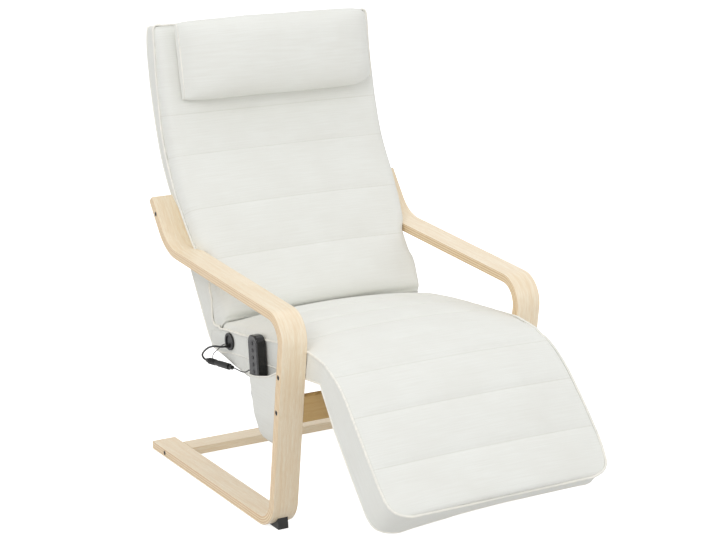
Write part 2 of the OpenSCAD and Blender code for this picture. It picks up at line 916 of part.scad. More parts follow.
module footrest_cushion() {
  color(cream) placed()
    difference() {
      loft([for (f = foot_stations) foot_ring(f)]);
      on_footrest(calf_place)
        motor_pockets();
    }
}

// The knee closes the wedge between the seat and the footrest cushions
knee_steps = 8;
seat_end = seat_stations[0];
foot_end = foot_stations[0];
knee_gap = 0.6;
knee_low = 21;
knee_inset = 0.5;
knee_spread = 2;
knee_height = 23;
knee_growth = 10;
knee_swell = 10;
knee_crown = 7;
seat_up = left_of(seat_way);
seat_up_angle = atan2(seat_up[1], seat_up[0]);
foot_up_angle = atan2(foot_up[1], foot_up[0]);
function knee_ring(t) =
  let (angle = seat_up_angle + (foot_up_angle - seat_up_angle) * t, up = [cos(angle), sin(angle)],
    away = (1 - t) * (seat_end + pivot_clearance - knee_gap) + t * (foot_end - knee_gap),
    way = t < 0.5 ? seat_way : -foot_way,
    push = max(0, abs(1 - 2 * t)),
    spot = pivot + (t < 0.5 ? seat_way : foot_way) * away * push)
  ring_at(spot, up, knee_low, inner_face - knee_inset + knee_spread * t,
    knee_height + knee_growth * t + knee_swell * sin(180 * t), knee_crown, 0);

module knee_cushion() {
  color(cream) placed()
    loft([for (i = [0 : knee_steps]) knee_ring(i / knee_steps)]);
}

// Thin cloth ribbons that follow the rail
function cloth_ring(spot, up, x_low, x_high, low, high) =
  [for (q = [[x_low, low], [x_high, low], [x_high, high], [x_low, high]])
    [q[0], spot[0] + up[0] * q[1], spot[1] + up[1] * q[1]]];

lining_low = lining_lift - lining_thickness / 2;
lining_high = lining_lift + lining_thickness / 2;
lining_stations = [64, 150, 300, 440, 454, 468, 482, 496, 510, 524, 600, 700, 800, 853, 881, 909, 923, 937, 965, 993,
  1100, 1236];

module lining() {
  loft([for (s = lining_stations)
    cloth_ring(rail_spot(s), left_of(rail_way(s)), -lining_half_width, lining_half_width, lining_low, lining_high)]);
}

skirt_lows = [[-14, -12], [430, -12], [500, -19], [560, -25], [700, -25], [790, -17], [880, -15], [1225, -12],
  [1252, -4], [1264, 10]];
skirt_highs = [[-14, 20.4], [34, 19.6], [58, 10], [1242, 10], [1250, 22], [1264, 22]];
skirt_stations = [-14, 6, 34, 58, 150, 300, 440, 458, 476, 494, 512, 530, 620, 700, 780, 850, 880, 910, 940, 970, 1000, 1100,
  1225, 1242, 1252, 1264];
skirt_insets = [[-14, 1.3], [876, 1.3], [930, -4.5], [1020, -11.5], [1264, -12.5]];
function skirt_x(s) = inner_face - lookup(s, skirt_insets);
hood_high = 10;
skirt_hole = 1;
hood_place = 1250;
foot_skirt_out = 4.5;
foot_skirt_x = inner_face + foot_skirt_out;
foot_skirt_low = -11;
foot_skirt_start = 0;
foot_skirt_highs = [[0, 20.4], [14, 20.4], [34, 19.6], [58, 10], [footrest_length, 10]];
lining_start = 64;

module skirt() {
  difference() {
    loft([for (s = skirt_stations)
      let (w = skirt_x(s))
      cloth_ring(rail_spot(s), left_of(rail_way(s)), w - cloth, w, lookup(s, skirt_lows), lookup(s, skirt_highs))]);
    for (spot = [arm_bolt, leg_bolt]) {
      rod(0, half_width, spot, spacer_radius + skirt_hole);
    }
  }
}

// The cover's underside: a lining, a skirt along each rail and a hood over their ends
module cover_underside() {
  color(cream) placed() {
    lining();
    both_sides()
      skirt();
    on_rail(hood_place)
      block([2 * skirt_x(hood_place) - 2 * cloth, cloth, hood_high - foot_skirt_low],
        [0, 0, (hood_high + foot_skirt_low) / 2]);
  }
}

module footrest_underside() {
  color(cream) placed() {
    on_footrest((lining_start + footrest_length) / 2)
      block([2 * lining_half_width, footrest_length - lining_start, lining_thickness], [0, 0, lining_lift]);
    both_sides()
      across(foot_skirt_x - cloth, foot_skirt_x)
        polygon(concat([for (q = foot_skirt_highs) foot_spot(q[0]) + foot_up * q[1]],
          [foot_spot(footrest_length) + foot_up * foot_skirt_low, foot_spot(foot_skirt_start) + foot_up * foot_skirt_low]));
  }
}

// Headrest pillow: a bolster across the top of the back
pillow_stations = [0, 0.02, 0.06, 0.14, 0.3, 0.5, 0.7, 0.86, 0.94, 0.98, 1];
pillow_shares = [0.62, 0.82, 0.92, 0.98, 1, 1, 1, 0.98, 0.92, 0.82, 0.62];
pillow_points = 20;
pillow_square = 0.62;
function rounded(v) = sign(v) * pow(abs(v), pillow_square);
pillow_waist_share = 0.38;
function pillow_ring(k) =
  let (share = pillow_shares[k], x = pillow_length * (pillow_stations[k] - 0.5))
  [for (j = [0 : pillow_points - 1])
    let (a = 360 * j / pillow_points)
    [x, rounded(cos(a)) * share * pillow_height / 2,
      pillow_thickness * (pillow_waist_share
        + (sin(a) < 0 ? pillow_waist_share : 1 - pillow_waist_share) * rounded(sin(a)) * share)]];

module headrest_pillow() {
  color(cream) placed()
    on_rail(pillow_place)
      translate([0, 0, pillow_lift])
        loft([for (k = [0 : len(pillow_stations) - 1]) pillow_ring(k)]);
}

strap_top = 1261;
strap_rear = -15;
strap_low = 1150;
pillow_edge = pillow_lift + pillow_thickness * pillow_waist_share;

module headrest_straps() {
  color(cream) placed()
    for (side = [-1, 1]) {
      on_rail(pillow_place) {
        block([strap_width, cloth, pillow_edge - strap_rear],
          [side * strap_place, strap_top - pillow_place, (pillow_edge + strap_rear) / 2]);
        block([strap_width, strap_top - strap_low + cloth / 2, cloth],
          [side * strap_place, (strap_top + strap_low + cloth / 2) / 2 - pillow_place, strap_rear]);
      }
    }
}

// Flap and pocket on the sitter's right
flap_x = -inner_face + 1.3;
flap_outline = [[267, 350], [173, 364], [90, 378], [-40, 398], [-116, 398], [-112, 166], [-4, 160], [16, 240],
  [30, 284], [94, 286], [271, 310]];

module side_flap() {
  color(cream) placed()
    difference() {
      across(flap_x - cloth, flap_x)
        polygon(flap_outline);
      rod(flap_x - cut, flap_x + cut, grommet_middle, grommet_radius - grommet_lap);
    }
}

pocket_outline = [[38, 309], [31, 285], [23, 251], [9, 200], [2, 170], [-12, 162], [-94, 168], [-104, 176],
  [-108, 250], [-108, 352], [-66, 336], [-20, 318]];
pocket_inner = [[61, 400], [36, 309], [29, 285], [21, 251], [7, 200], [0, 172], [-13, 164], [-93, 170],
  [-102, 178], [-106, 250], [-106, 400]];
pocket_x = flap_x - cloth;

module side_pocket() {
  color(cream) placed()
    difference() {
      across(pocket_x - pocket_depth, pocket_x)
        polygon(pocket_outline);
      across(pocket_x - pocket_depth + cloth, pocket_x + cut)
        polygon(pocket_inner);
    }
}

// Grommet with a nozzle for the lead
nozzle_radius = 4;
nozzle_length = 6;
nozzle_spot = [170, 335];
grommet_x = pocket_x;
grommet_rim = 1.4;
grommet_web = 1.6;
grommet_lap = 5;
dish_rim = 5.6;

module cable_grommet() {
  color(black) placed()
    difference() {
      union() {
        rod(grommet_x - grommet_thickness, grommet_x, grommet_middle, grommet_radius);
        rod(grommet_x, flap_x, grommet_middle, grommet_radius - grommet_lap);
        rod(grommet_x - grommet_thickness - nozzle_length, grommet_x, nozzle_spot, nozzle_radius);
      }
      difference() {
        rod(grommet_x - grommet_thickness - eps, grommet_x - grommet_web, grommet_middle, grommet_radius - dish_rim);
        rod(grommet_x - cut, grommet_x, nozzle_spot, nozzle_radius + grommet_rim);
      }
    }
}

// Tubes swept along hand-chosen points
lead_sides = 8;
function curve(p, i, t) =
  let (a = p[max(i - 1, 0)], b = p[i], c = p[i + 1], d = p[min(i + 2, len(p) - 1)])
  0.5 * (2 * b + (c - a) * t + (2 * a - 5 * b + 4 * c - d) * t * t + (3 * b - a - 3 * c + d) * t * t * t);
function smooth(p, steps) =
  concat([for (i = [0 : len(p) - 2], k = [0 : steps - 1]) curve(p, i, k / steps)], [p[len(p) - 1]]);
function way3(p, i) =
  let (d = p[min(i + 1, len(p) - 1)] - p[max(i - 1, 0)])
  d / norm(d);
function square_to(v, u) = let (w = v - (v * u) * u) w / norm(w);
first_up = [0.1, 0.3, 1];
function carried(p, i = 0, v = first_up) =
  i >= len(p) ? [] : let (w = square_to(v, way3(p, i))) concat([w], carried(p, i + 1, w));
function tube_rings(p, radius) =
  let (ups = carried(p))
  [for (i = [0 : len(p) - 1])
    let (u = ups[i], v = cross(way3(p, i), u))
    [for (j = [0 : lead_sides - 1]) p[i] + radius * (u * cos(360 * j / lead_sides) + v * sin(360 * j / lead_sides))]];

module tube(points, radius, steps) {
  loft([for (r = tube_rings(smooth(points, steps), radius)) back_to_front(r)]);
}

// Routes of the leads as [distance out from the flap, depth, height]
function off_flap(route) = [for (q = route) [grommet_x - q[0], q[1], q[2]]];
lead_steps = 4;
thin_steps = 3;
lead_out = grommet_thickness + nozzle_length;
socket_out = [24.8, 240, 286];
plug_out = [11.8, 150, 292];
socket_start = off_flap([socket_out])[0];
plug_end = off_flap([plug_out])[0];
connector_way = unit(plug_end - socket_start);
lead_points = off_flap([[lead_out, 170, 335], [16.8, 170, 335], [22.8, 178, 334], [26.8, 196, 331], [29.8, 220, 322],
  [30.8, 244, 306], [28.8, 256, 294], [26.8, 252, 287], [25.8, 246, 286], socket_out]);
tether_points = off_flap([[1.6, 178, 338], [8.8, 178, 338], [15.8, 180, 335], [20.8, 190, 324], [22.8, 206, 312],
  [22.2, 214, 303], [21.4, 216.4, 294.6]]);
collar_length = 12;
plug_tail = plug_end + connector_way * collar_length;
plug_relief = 8;
thin_points = concat([plug_tail, plug_tail + connector_way * plug_relief],
  off_flap([[11.8, 108, 296], [15.8, 78, 300], [17.8, 54, 307], [17.8, 40, 315], [17.8, 31, 314], [16.8, 27, 303],
  [15.8, 24.4, 287], [14.8, 20.8, 268], [14.8, 16, 250], [14.8, 8, 238], [14.8, -3, 234], [14.2, -7.4, 241],
  [14.2, -6.6, 250]]));

module cushion_leads() {
  color(black) placed() {
    tube(lead_points, lead_radius, lead_steps);
    tube(tether_points, tether_radius, lead_steps);
  }
}

// Places a turned piece along the connector
connector_pitch = acos(connector_way[2]);
connector_yaw = atan2(connector_way[1], connector_way[0]);

module along_connector(distance) {
  translate(socket_start + connector_way * distance)
    rotate([0, connector_pitch, connector_yaw])
      children();
}

connector_length = norm(plug_end - socket_start);
socket_share = 0.55;
socket_length = connector_length * socket_share;
nib = 12;
nib_radius = 4.5;
ridge = 0.9;
ridge_step = 5;
collar_radius = 5;

module inline_socket() {
  color(black) placed()
    along_connector(0) {
      cylinder(h = nib, r1 = nib_radius, r2 = connector_radius - ridge);
      translate([0, 0, nib])
        cylinder(h = socket_length - nib, r = connector_radius - ridge);
      for (i = [0 : 4]) {
        translate([0, 0, nib + i * ridge_step])
          cylinder(h = ridge_step / 2, r = connector_radius);
      }
    }
}

module inline_plug() {
  color(black) placed() {
    along_connector(socket_length)
      cylinder(h = connector_length - socket_length, r = connector_radius);
    along_connector(connector_length)
      cylinder(h = collar_length, r = collar_radius);
  }
}

module lead_to_handset() {
  color(black) placed()
    tube(thin_points, thin_lead_radius, thin_steps);
}

// Massage motors: local frame on a cushion's underside, Z towards the sitter
can_axis_share = 0.5;
can_height = puck_height * can_axis_share;
can_start = -20;
cradle_length = 22;
cradle_width = 15;
can_play = 0.05;
puck_facets = 64;

module puck_frame(side) {
  translate([side * puck_place, 0, under_lift])
    children();
}

module x_rod(from, to, height, radius) {
  translate([from, 0, height])
    rotate([0, 90, 0])
      cylinder(h = to - from, r = radius);
}

module motor_cup() {
  difference() {
    cylinder(h = puck_height - cap_thickness, r = puck_radius, $fn = puck_facets);
    translate([0, 0, puck_wall])
      cylinder(h = puck_height, r = puck_radius - puck_wall, $fn = puck_facets);
  }
  difference() {
    translate([can_start + can_length / 2, 0, (puck_wall + can_height) / 2])
      cube([cradle_length, cradle_width, can_height - puck_wall], center = true);
    x_rod(-puck_radius, puck_radius, can_height, can_radius + can_play);
  }
}

ring_radii = [13, 24];
ring_width = 5;
spoke_width = 5;

module motor_cap() {
  difference() {
    cylinder(h = cap_thickness, r = puck_radius, $fn = puck_facets);
    for (r = ring_radii) {
      difference() {
        translate([0, 0, -cap_thickness])
          cylinder(h = 3 * cap_thickness, r = r + ring_width);
        translate([0, 0, -2 * cap_thickness])
          cylinder(h = 5 * cap_thickness, r = r);
        cube([2 * puck_radius, spoke_width, cut], center = true);
        cube([spoke_width, 2 * puck_radius, cut], center = true);
      }
    }
  }
}

module motor_can() {
  difference() {
    x_rod(can_start, can_start + can_length, can_height, can_radius);
    x_rod(can_start + can_length / 2, puck_radius, can_height, shaft_radius + shaft_play);
  }
}

weight_start = 10;
shaft_end = 20;
shaft_start = -6;

module rotor() {
  x_rod(shaft_start, shaft_end, can_height, shaft_radius);
  difference() {
    x_rod(weight_start, weight_start + weight_thickness, can_height, weight_radius);
    translate([0, 0, can_height + weight_radius + shaft_radius])
      cube([4 * weight_radius, 4 * weight_radius, 2 * weight_radius], center = true);
  }
}

module at_body_motors() {
  for (s = [thigh_place, lumbar_place, shoulder_place], side = [-1, 1]) {
    on_rail(s)
      puck_frame(side)
        children();
  }
}

module at_calf_motors() {
  for (side = [-1, 1]) {
    on_footrest(calf_place)
      puck_frame(side)
        children();
  }
}

module motor_cups() {
  color(black) placed()
    at_body_motors()
      motor_cup();
}

module motor_caps() {
  color(blue) placed()
    at_body_motors()
      translate([0, 0, puck_height - cap_thickness])
        motor_cap();
}

module motor_cans() {
  color(steel) placed()
    at_body_motors()
      motor_can();
}

module calf_motor_cups() {
  color(black) placed()
    at_calf_motors()
      motor_cup();
}

module calf_motor_caps() {
  color(blue) placed()
    at_calf_motors()
      translate([0, 0, puck_height - cap_thickness])
        motor_cap();
}

module calf_motor_cans() {
  color(steel) placed()
    at_calf_motors()
      motor_can();
}

module body_rotor(s, side) {
  color(steel) placed()
    on_rail(s)
      puck_frame(side)
        rotor();
}

module calf_rotor(side) {
  color(steel) placed()
    on_footrest(calf_place)
      puck_frame(side)
        rotor();
}

module rotor_shoulder_right() {
  body_rotor(shoulder_place, -1);
}

module rotor_shoulder_left() {
  body_rotor(shoulder_place, 1);
}

module rotor_lumbar_right() {
  body_rotor(lumbar_place, -1);
}

module rotor_lumbar_left() {
  body_rotor(lumbar_place, 1);
}

module rotor_thigh_right() {
  body_rotor(thigh_place, -1);
}

module rotor_thigh_left() {
  body_rotor(thigh_place, 1);
}

module rotor_calf_right() {
  calf_rotor(-1);
}

module rotor_calf_left() {
  calf_rotor(1);
}

// Heating mat: crossing wires on a felt sheet, above a foam insert
wire_columns = 5;
wire_rows = 7;
felt_thickness = 1.4;
mat_low = under_lift + mat_depth - mat_thickness;

module heating_mat() {
  color([0.85, 0.12, 0.12]) placed()
    on_rail(lumbar_place) {
      block([mat_width, mat_height, felt_thickness], [0, 0, mat_low + felt_thickness / 2]);
      for (i = [0 : wire_columns - 1]) {
        block([wire_width, mat_height - wire_width, mat_thickness],
          [(mat_width - 2 * wire_width) * (i / (wire_columns - 1) - 0.5), 0, mat_low + mat_thickness / 2]);
      }
      for (i = [0 : wire_rows - 1]) {
        block([mat_width - wire_width, wire_width, mat_thickness],
          [0, (mat_height - 2 * wire_width) * (i / (wire_rows - 1) - 0.5), mat_low + mat_thickness / 2]);
      }
    }
}

module lumbar_foam() {
  color([0.93, 0.90, 0.70]) placed()
    on_rail(lumbar_place)
      block([mat_width, mat_height, mat_low - under_lift], [0, 0, (mat_low + under_lift) / 2]);
}

harness_rise = 0.2;
harness_low = lining_high + harness_rise;
harness_high = harness_low + harness_thickness;
harness_stations = [for (s = lining_stations) if (s < 1000) s];

module wiring_harness() {
  color([0.2, 0.2, 0.22]) placed() {
    loft([for (s = harness_stations)
      cloth_ring(rail_spot(s), left_of(rail_way(s)), -harness_width / 2, harness_width / 2, harness_low, harness_high)]);
    for (s = [thigh_place, lumbar_place, shoulder_place]) {
      on_rail(s)
        block([2 * puck_place, harness_width, harness_thickness], [0, 0, harness_low + harness_thickness / 2]);
    }
  }
}

// Handset: local frame with Z up the handset and -X out of its face
module on_handset() {
  translate([pocket_x - handset_out, handset_foot[0], handset_foot[1]])
    rotate([-handset_lean, 0, 0])
      children();
}

module rounded_outline(width, height, corner) {
  translate([0, height / 2])
    square([width - 2 * corner, height], center = true);
  translate([0, height / 2])
    square([width, height - 2 * corner], center = true);
  for (a = [-1, 1], b = [0, 1]) {
    translate([a * (width / 2 - corner), corner + b * (height - 2 * corner)])
      circle(r = corner);
  }
}

module handset_slab(x_from, x_to, inset, corner) {
  translate([x_from, 0, inset])
    rotate([90, 0, 90])
      linear_extrude(x_to - x_from)
        rounded_outline(handset_width - 2 * inset, handset_height - 2 * inset, corner);
}

face_x = -handset_thickness / 2;
button_x_reach = handset_wall + 1.6;
button_names = 5;

module button_bore(i, radius) {
  translate([face_x - button_rise, 0, first_button + i * button_step])
    rotate([0, 90, 0])
      cylinder(h = button_rise + button_x_reach, r = radius);
}

relief_radius = 3.4;
relief_length = 8;

module handset_relief(play) {
  translate([0, 0, -relief_length])
    cylinder(h = relief_length + handset_wall, r = relief_radius + play);
}

module handset_front() {
  color([0.36, 0.36, 0.38]) placed()
    on_handset()
      difference() {
        handset_slab(face_x, 0, 0, handset_corner);
        handset_slab(face_x + handset_wall, eps, handset_wall, handset_corner - handset_wall);
        for (i = [0 : button_names - 1]) {
          button_bore(i, button_radius + button_play);
        }
        handset_relief(pin_play);
      }
}

module handset_rear() {
  color(black) placed()
    on_handset()
      difference() {
        union() {
          handset_slab(0, -face_x, 0, handset_corner);
          handset_relief(0);
        }
        handset_slab(-eps, -face_x - handset_wall, handset_wall, handset_corner - handset_wall);
      }
}

board_thickness = 1.6;
board_gap = 1.2;
board_x = face_x + button_x_reach + board_gap;
board_inset = 3;
board_start_share = 0.12;
board_share = 0.78;
post_shares = [0.2, 0.8];

module handset_board() {
  color([0.10, 0.38, 0.20]) placed()
    on_handset() {
      translate([board_x, -handset_width / 2 + board_inset, handset_height * board_start_share])
        cube([board_thickness, handset_width - 2 * board_inset, handset_height * board_share]);
      for (z = post_shares) {
        translate([board_x + board_thickness, 0, handset_height * z])
          rotate([0, 90, 0])
            cylinder(h = -face_x - handset_wall - board_x - board_thickness, r = board_inset);
      }
    }
}

flange_thickness = 1;
flange_gap = 0.1;
flange_rim = 1.2;

module handset_button(i) {
  color(black) placed()
    on_handset() {
      button_bore(i, button_radius);
      translate([face_x + handset_wall + flange_gap, 0, first_button + i * button_step])
        rotate([0, 90, 0])
          cylinder(h = flange_thickness, r = button_radius + flange_rim);
    }
}

module button_power() {
  handset_button(4);
}

module button_mode() {
  handset_button(3);
}

module button_speed() {
  handset_button(2);
}

module button_timer() {
  handset_button(1);
}

module button_heat() {
  handset_button(0);
}

side_frame_right();
side_frame_left();
rear_floor_rail();
front_stretcher();
foot_wedges();
seat_rail_right();
seat_rail_left();
frame_slats();
cross_rails();
frame_bolts();
barrel_nuts();
rail_spacers();
hinge_cups();
hinge_pins();
detent_springs();
hinge_screws();
back_cushion();
seat_cushion();
knee_cushion();
cover_underside();
headrest_pillow();
headrest_straps();
side_flap();
side_pocket();
cable_grommet();
cushion_leads();
inline_socket();
inline_plug();
lead_to_handset();
motor_cups();
motor_caps();
motor_cans();
heating_mat();
lumbar_foam();
wiring_harness();
rotor_shoulder_right();
rotor_shoulder_left();
rotor_lumbar_right();
rotor_lumbar_left();
rotor_thigh_right();
rotor_thigh_left();
rotor_calf_right();
rotor_calf_left();
footrest_rails();
footrest_slats();
hinge_arms();
footrest_hinge_screws();
footrest_cushion();
footrest_underside();
calf_motor_cups();
calf_motor_caps();
calf_motor_cans();
handset_front();
handset_rear();
handset_board();
button_power();
button_mode();
button_speed();
button_timer();
button_heat();
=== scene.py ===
import json
from bisect import bisect_right
from math import atan2, copysign, cos, pi, radians, sin, sqrt, tan, tanh, tau
import bpy
import bmesh
from mathutils import Matrix, Vector
from mathutils.geometry import intersect_line_line_2d
from mathutils.noise import noise


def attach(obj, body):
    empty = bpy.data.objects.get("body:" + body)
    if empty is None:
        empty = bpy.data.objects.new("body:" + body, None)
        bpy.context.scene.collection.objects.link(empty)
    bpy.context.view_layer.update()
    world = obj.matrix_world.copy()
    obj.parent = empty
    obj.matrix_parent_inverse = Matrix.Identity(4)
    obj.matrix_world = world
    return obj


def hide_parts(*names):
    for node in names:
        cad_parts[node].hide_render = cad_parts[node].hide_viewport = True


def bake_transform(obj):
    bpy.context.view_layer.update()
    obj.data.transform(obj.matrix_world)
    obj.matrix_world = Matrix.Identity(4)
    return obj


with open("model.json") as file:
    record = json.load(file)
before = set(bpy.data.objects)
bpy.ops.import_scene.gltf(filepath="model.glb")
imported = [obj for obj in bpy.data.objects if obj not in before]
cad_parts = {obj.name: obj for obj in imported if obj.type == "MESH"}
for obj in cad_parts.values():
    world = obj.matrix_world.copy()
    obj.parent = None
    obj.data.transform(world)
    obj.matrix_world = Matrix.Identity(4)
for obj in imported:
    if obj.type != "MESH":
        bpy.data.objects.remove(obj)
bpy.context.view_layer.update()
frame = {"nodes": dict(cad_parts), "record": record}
nodes = frame["nodes"]
scene = bpy.context.scene
scene.view_settings.view_transform = "Standard"
print("frame loaded with", len(nodes), "nodes")

# the camera of the photograph
camera = {"place": (-2.271, -3.84615, 1.703), "down": 14.88, "turn": 30.26, "lens": 102.47}
lens = bpy.data.cameras.new("camera")
lens.lens, lens.sensor_width, lens.clip_end = camera["lens"], 36, 60
eye = bpy.data.objects.new("camera", lens)
eye.location = camera["place"]
eye.rotation_euler = (radians(90 - camera["down"]), 0, -radians(camera["turn"]))
scene.collection.objects.link(eye)
scene.camera = eye

mm = 0.001
depthShift = -5.15  # from the side view's zero to the middle of the chair


def place(x, side, lift=0.0):
    # x and a spot in the side view, in millimetres
    return Vector((x * mm, (side[0] + depthShift) * mm, (side[1] + lift) * mm))


def addObject(name, data):
    piece = bpy.data.objects.new(name, data)
    scene.collection.objects.link(piece)
    return piece


def meshOf(name, bm, smooth=True):
    mesh = bpy.data.meshes.new(name)
    bm.to_mesh(mesh)
    bm.free()
    mesh.shade_smooth() if smooth else mesh.shade_flat()
    return addObject(name, mesh)


def mergeDoubles(bm):
    bmesh.ops.remove_doubles(bm, verts=bm.verts, dist=0.01 * mm)


def faceOut(bm):
    # also turns back a folded shape that the recalculation turned inside out
    bmesh.ops.recalc_face_normals(bm, faces=bm.faces)
    if bm.calc_volume(signed=True) < 0:
        bmesh.ops.reverse_faces(bm, faces=bm.faces)


def faceAwayFrom(bm, middle):
    # turns over a sheet that faces the middle
    bm.normal_update()
    if sum(f.normal.dot(f.calc_center_median() - middle) for f in bm.faces) < 0:
        bmesh.ops.reverse_faces(bm, faces=bm.faces)


def cutCube(*counts):
    # a cube cut into so many cells each way
    bm = bmesh.new()
    bmesh.ops.create_cube(bm, size=2)
    for axis, count in enumerate(counts):
        edges = [e for e in bm.edges if abs((e.verts[0].co - e.verts[1].co)[axis]) > 0.001]
        bmesh.ops.subdivide_edges(bm, edges=edges, cuts=count - 1, use_grid_fill=True)
    return bm


def settle(piece):
    # applies a piece's modifiers or bevel
    bpy.context.view_layer.update()
    graph = bpy.context.evaluated_depsgraph_get()
    shown = piece.evaluated_get(graph)
    mesh = bpy.data.meshes.new_from_object(shown, preserve_all_data_layers=True, depsgraph=graph)
    name = piece.name
    bpy.data.objects.remove(piece)
    mesh.name = name
    return addObject(name, mesh)


def mapped(bm, flat):
    # the cloth's own map of its flat places
    maps = bm.loops.layers.uv.new("weave")
    for face in bm.faces:
        for corner in face.loops:
            corner[maps].uv = flat[corner.vert]


def setAll(thing, **values):
    for key, value in values.items():
        setattr(thing, key, value)
    return thing


def withModifier(piece, kind, **values):
    setAll(piece.modifiers.new(kind.title(), kind), **values)
    return piece


def bevelled(bm, geom, offset, segments, affect="EDGES"):
    bmesh.ops.bevel(bm, geom=geom, offset=offset * mm, segments=segments, profile=0.5, affect=affect, material=-1)


def crowded(u, power):
    # draws even cells towards the ends
    return copysign(1 - (1 - abs(u)) ** power, u)


def smoothLine(points, steps):
    # a smooth line through given points
    line = []
    for a, b, c, d in zip([points[0]] + points, points, points[1:], points[2:] + [points[-1]]):
        for t in (k / steps for k in range(steps)):
            line.append(0.5 * (2 * b + (c - a) * t + (2 * a - 5 * b + 4 * c - d) * t * t
                               + (3 * b - a - 3 * c + d) * t ** 3))
    return line + [points[-1]]


def runAlong(line):
    # the distance to each point from the start
    run = [0.0]
    for a, b in zip(line, line[1:]):
        run.append(run[-1] + (b - a).length)
    return run


def lengthOf(line):
    return runAlong(line)[-1]


def tubeAlong(name, line, radius, cyclic=False, roundness=3):
    curve = bpy.data.curves.new(name, "CURVE")
    curve.dimensions = "3D"
    curve.bevel_depth, curve.bevel_resolution = radius * mm, roundness
    curve.use_fill_caps = not cyclic
    spline = curve.splines.new("POLY")
    spline.points.add(len(line) - 1)
    for point, spot in zip(spline.points, line):
        point.co = (*spot, 1)
    spline.use_cyclic_u = cyclic
    return addObject(name, curve)


def cappedTube(name, line, radius, roundness):
    # a tube made a mesh, with its end caps joined on
    piece = settle(tubeAlong(name, line, radius, roundness=roundness))
    bm = bmesh.new()
    bm.from_mesh(piece.data)
    mergeDoubles(bm)
    faceOut(bm)
    bm.to_mesh(piece.data)
    bm.free()
    return piece


# The free leads from grommet to connector to handset: x, depth and height of their routes
cords = {
    "lead": 2.4, "tether": 1.0, "handsetLead": 1.5,
    "leadRoute": [(-281.2, 170, 335), (-288, 170, 335), (-294, 178, 334), (-298, 196, 331), (-301, 220, 322),
                  (-302, 244, 306), (-300, 256, 294), (-298, 252, 287), (-297, 246, 286), (-296, 240, 286)],
    "tetherRoute": [(-272.8, 178, 338), (-280, 178, 338), (-287, 180, 335), (-292, 190, 324), (-294, 206, 312),
                    (-293.4, 214, 303), (-292.6, 216.4, 294.6)],
    "socketStart": (-296, 240, 286), "plugEnd": (-283, 150, 292), "collar": 12, "relief": 8,
    "handsetRoute": [(-283, 108, 296), (-287, 78, 300), (-289, 54, 307), (-289, 40, 315), (-289, 31, 314),
                     (-288, 27, 303), (-287, 24.4, 287), (-286, 20.8, 268), (-286, 16, 250), (-286, 8, 238),
                     (-286, -3, 234), (-285.4, -7.4, 241), (-285.4, -6.6, 250)],
}
plugWay = (Vector(cords["plugEnd"]) - Vector(cords["socketStart"])).normalized()
plugTail = Vector(cords["plugEnd"]) + plugWay * cords["collar"]


def route(points, steps):
    return smoothLine([place(p[0], (p[1], p[2])) for p in points], steps)


leadLine = route(cords["leadRoute"], 3)
tetherLine = route(cords["tetherRoute"], 4)
handsetLine = route([plugTail, plugTail + plugWay * cords["relief"]] + cords["handsetRoute"], 2)
mainLead = tubeAlong("main_lead", leadLine, cords["lead"])
tether = tubeAlong("thin_lead", tetherLine, cords["tether"])
handsetLead = tubeAlong("handset_lead", handsetLine, cords["handsetLead"])
print("leads of", *(round(1000 * lengthOf(line)) for line in (leadLine, tetherLine, handsetLine)), "mm")


# Materials: a helper adds its node to the tree of its input
def paint(*colour):
    # a colour as a picture shows it, in the shader's linear numbers
    return tuple(c / 12.92 if c <= 0.04045 else ((c + 0.055) / 1.055) ** 2.4 for c in (part / 255 for part in colour))


def newMaterial(name, colour, roughness, **sockets):
    material = bpy.data.materials.new(name)
    material.use_nodes = True
    inputs = material.node_tree.nodes["Principled BSDF"].inputs
    for socket, value in {"Base_Color": (*colour, 1), "Roughness": roughness, **sockets}.items():
        inputs[socket.replace("_", " ")].default_value = value
    return material


def addNode(tree, kind, inputs=None, **settings):
    node = setAll(tree.nodes.new("ShaderNode" + kind), **settings)
    for key, value in (inputs or {}).items():
        if isinstance(value, bpy.types.NodeSocket):
            tree.links.new(value, node.inputs[key])
        else:
            node.inputs[key].default_value = value
    return node


def maths(operation, a, b=0.0):
    return addNode(a.id_data, "Math", {0: a, 1: b}, operation=operation).outputs[0]


def times(a, b):
    return maths("MULTIPLY", a, b)


def noiseOn(spot, stretch, detail=3.0, roughness=0.5):
    spread = addNode(spot.id_data, "Mapping", {"Vector": spot, "Scale": stretch}).outputs[0]
    inputs = {"Vector": spread, "Scale": 1.0, "Detail": detail, "Roughness": roughness}
    return addNode(spot.id_data, "TexNoise", inputs).outputs[0]


def ranged(value, low, high, toLow=0.0, toHigh=1.0):
    return addNode(value.id_data, "MapRange", {0: value, 1: low, 2: high, 3: toLow, 4: toHigh}).outputs[0]


def uneven(value, roughness, spread=0.06):
    return ranged(value, 0.3, 0.7, roughness - spread, roughness + spread + 0.02)


def mixed(share, a, b):
    a, b = ((*c, 1) if isinstance(c, tuple) else c for c in (a, b))
    return addNode(share.id_data, "Mix", {0: share, 6: a, 7: b}, data_type="RGBA").outputs[2]


def bump(height, strength, distance, below=None):
    inputs = {"Height": height, "Strength": strength, "Distance": distance}
    if below is not None:
        inputs["Normal"] = below
    return addNode(height.id_data, "Bump", inputs).outputs[0]


def objectPlace(tree):
    return addNode(tree, "TexCoord").outputs["Object"]


def feed(tree, **sockets):
    # joins outputs to the shader
    for socket, output in sockets.items():
        tree.links.new(output, tree.nodes["Principled BSDF"].inputs[socket.replace("_", " ")])
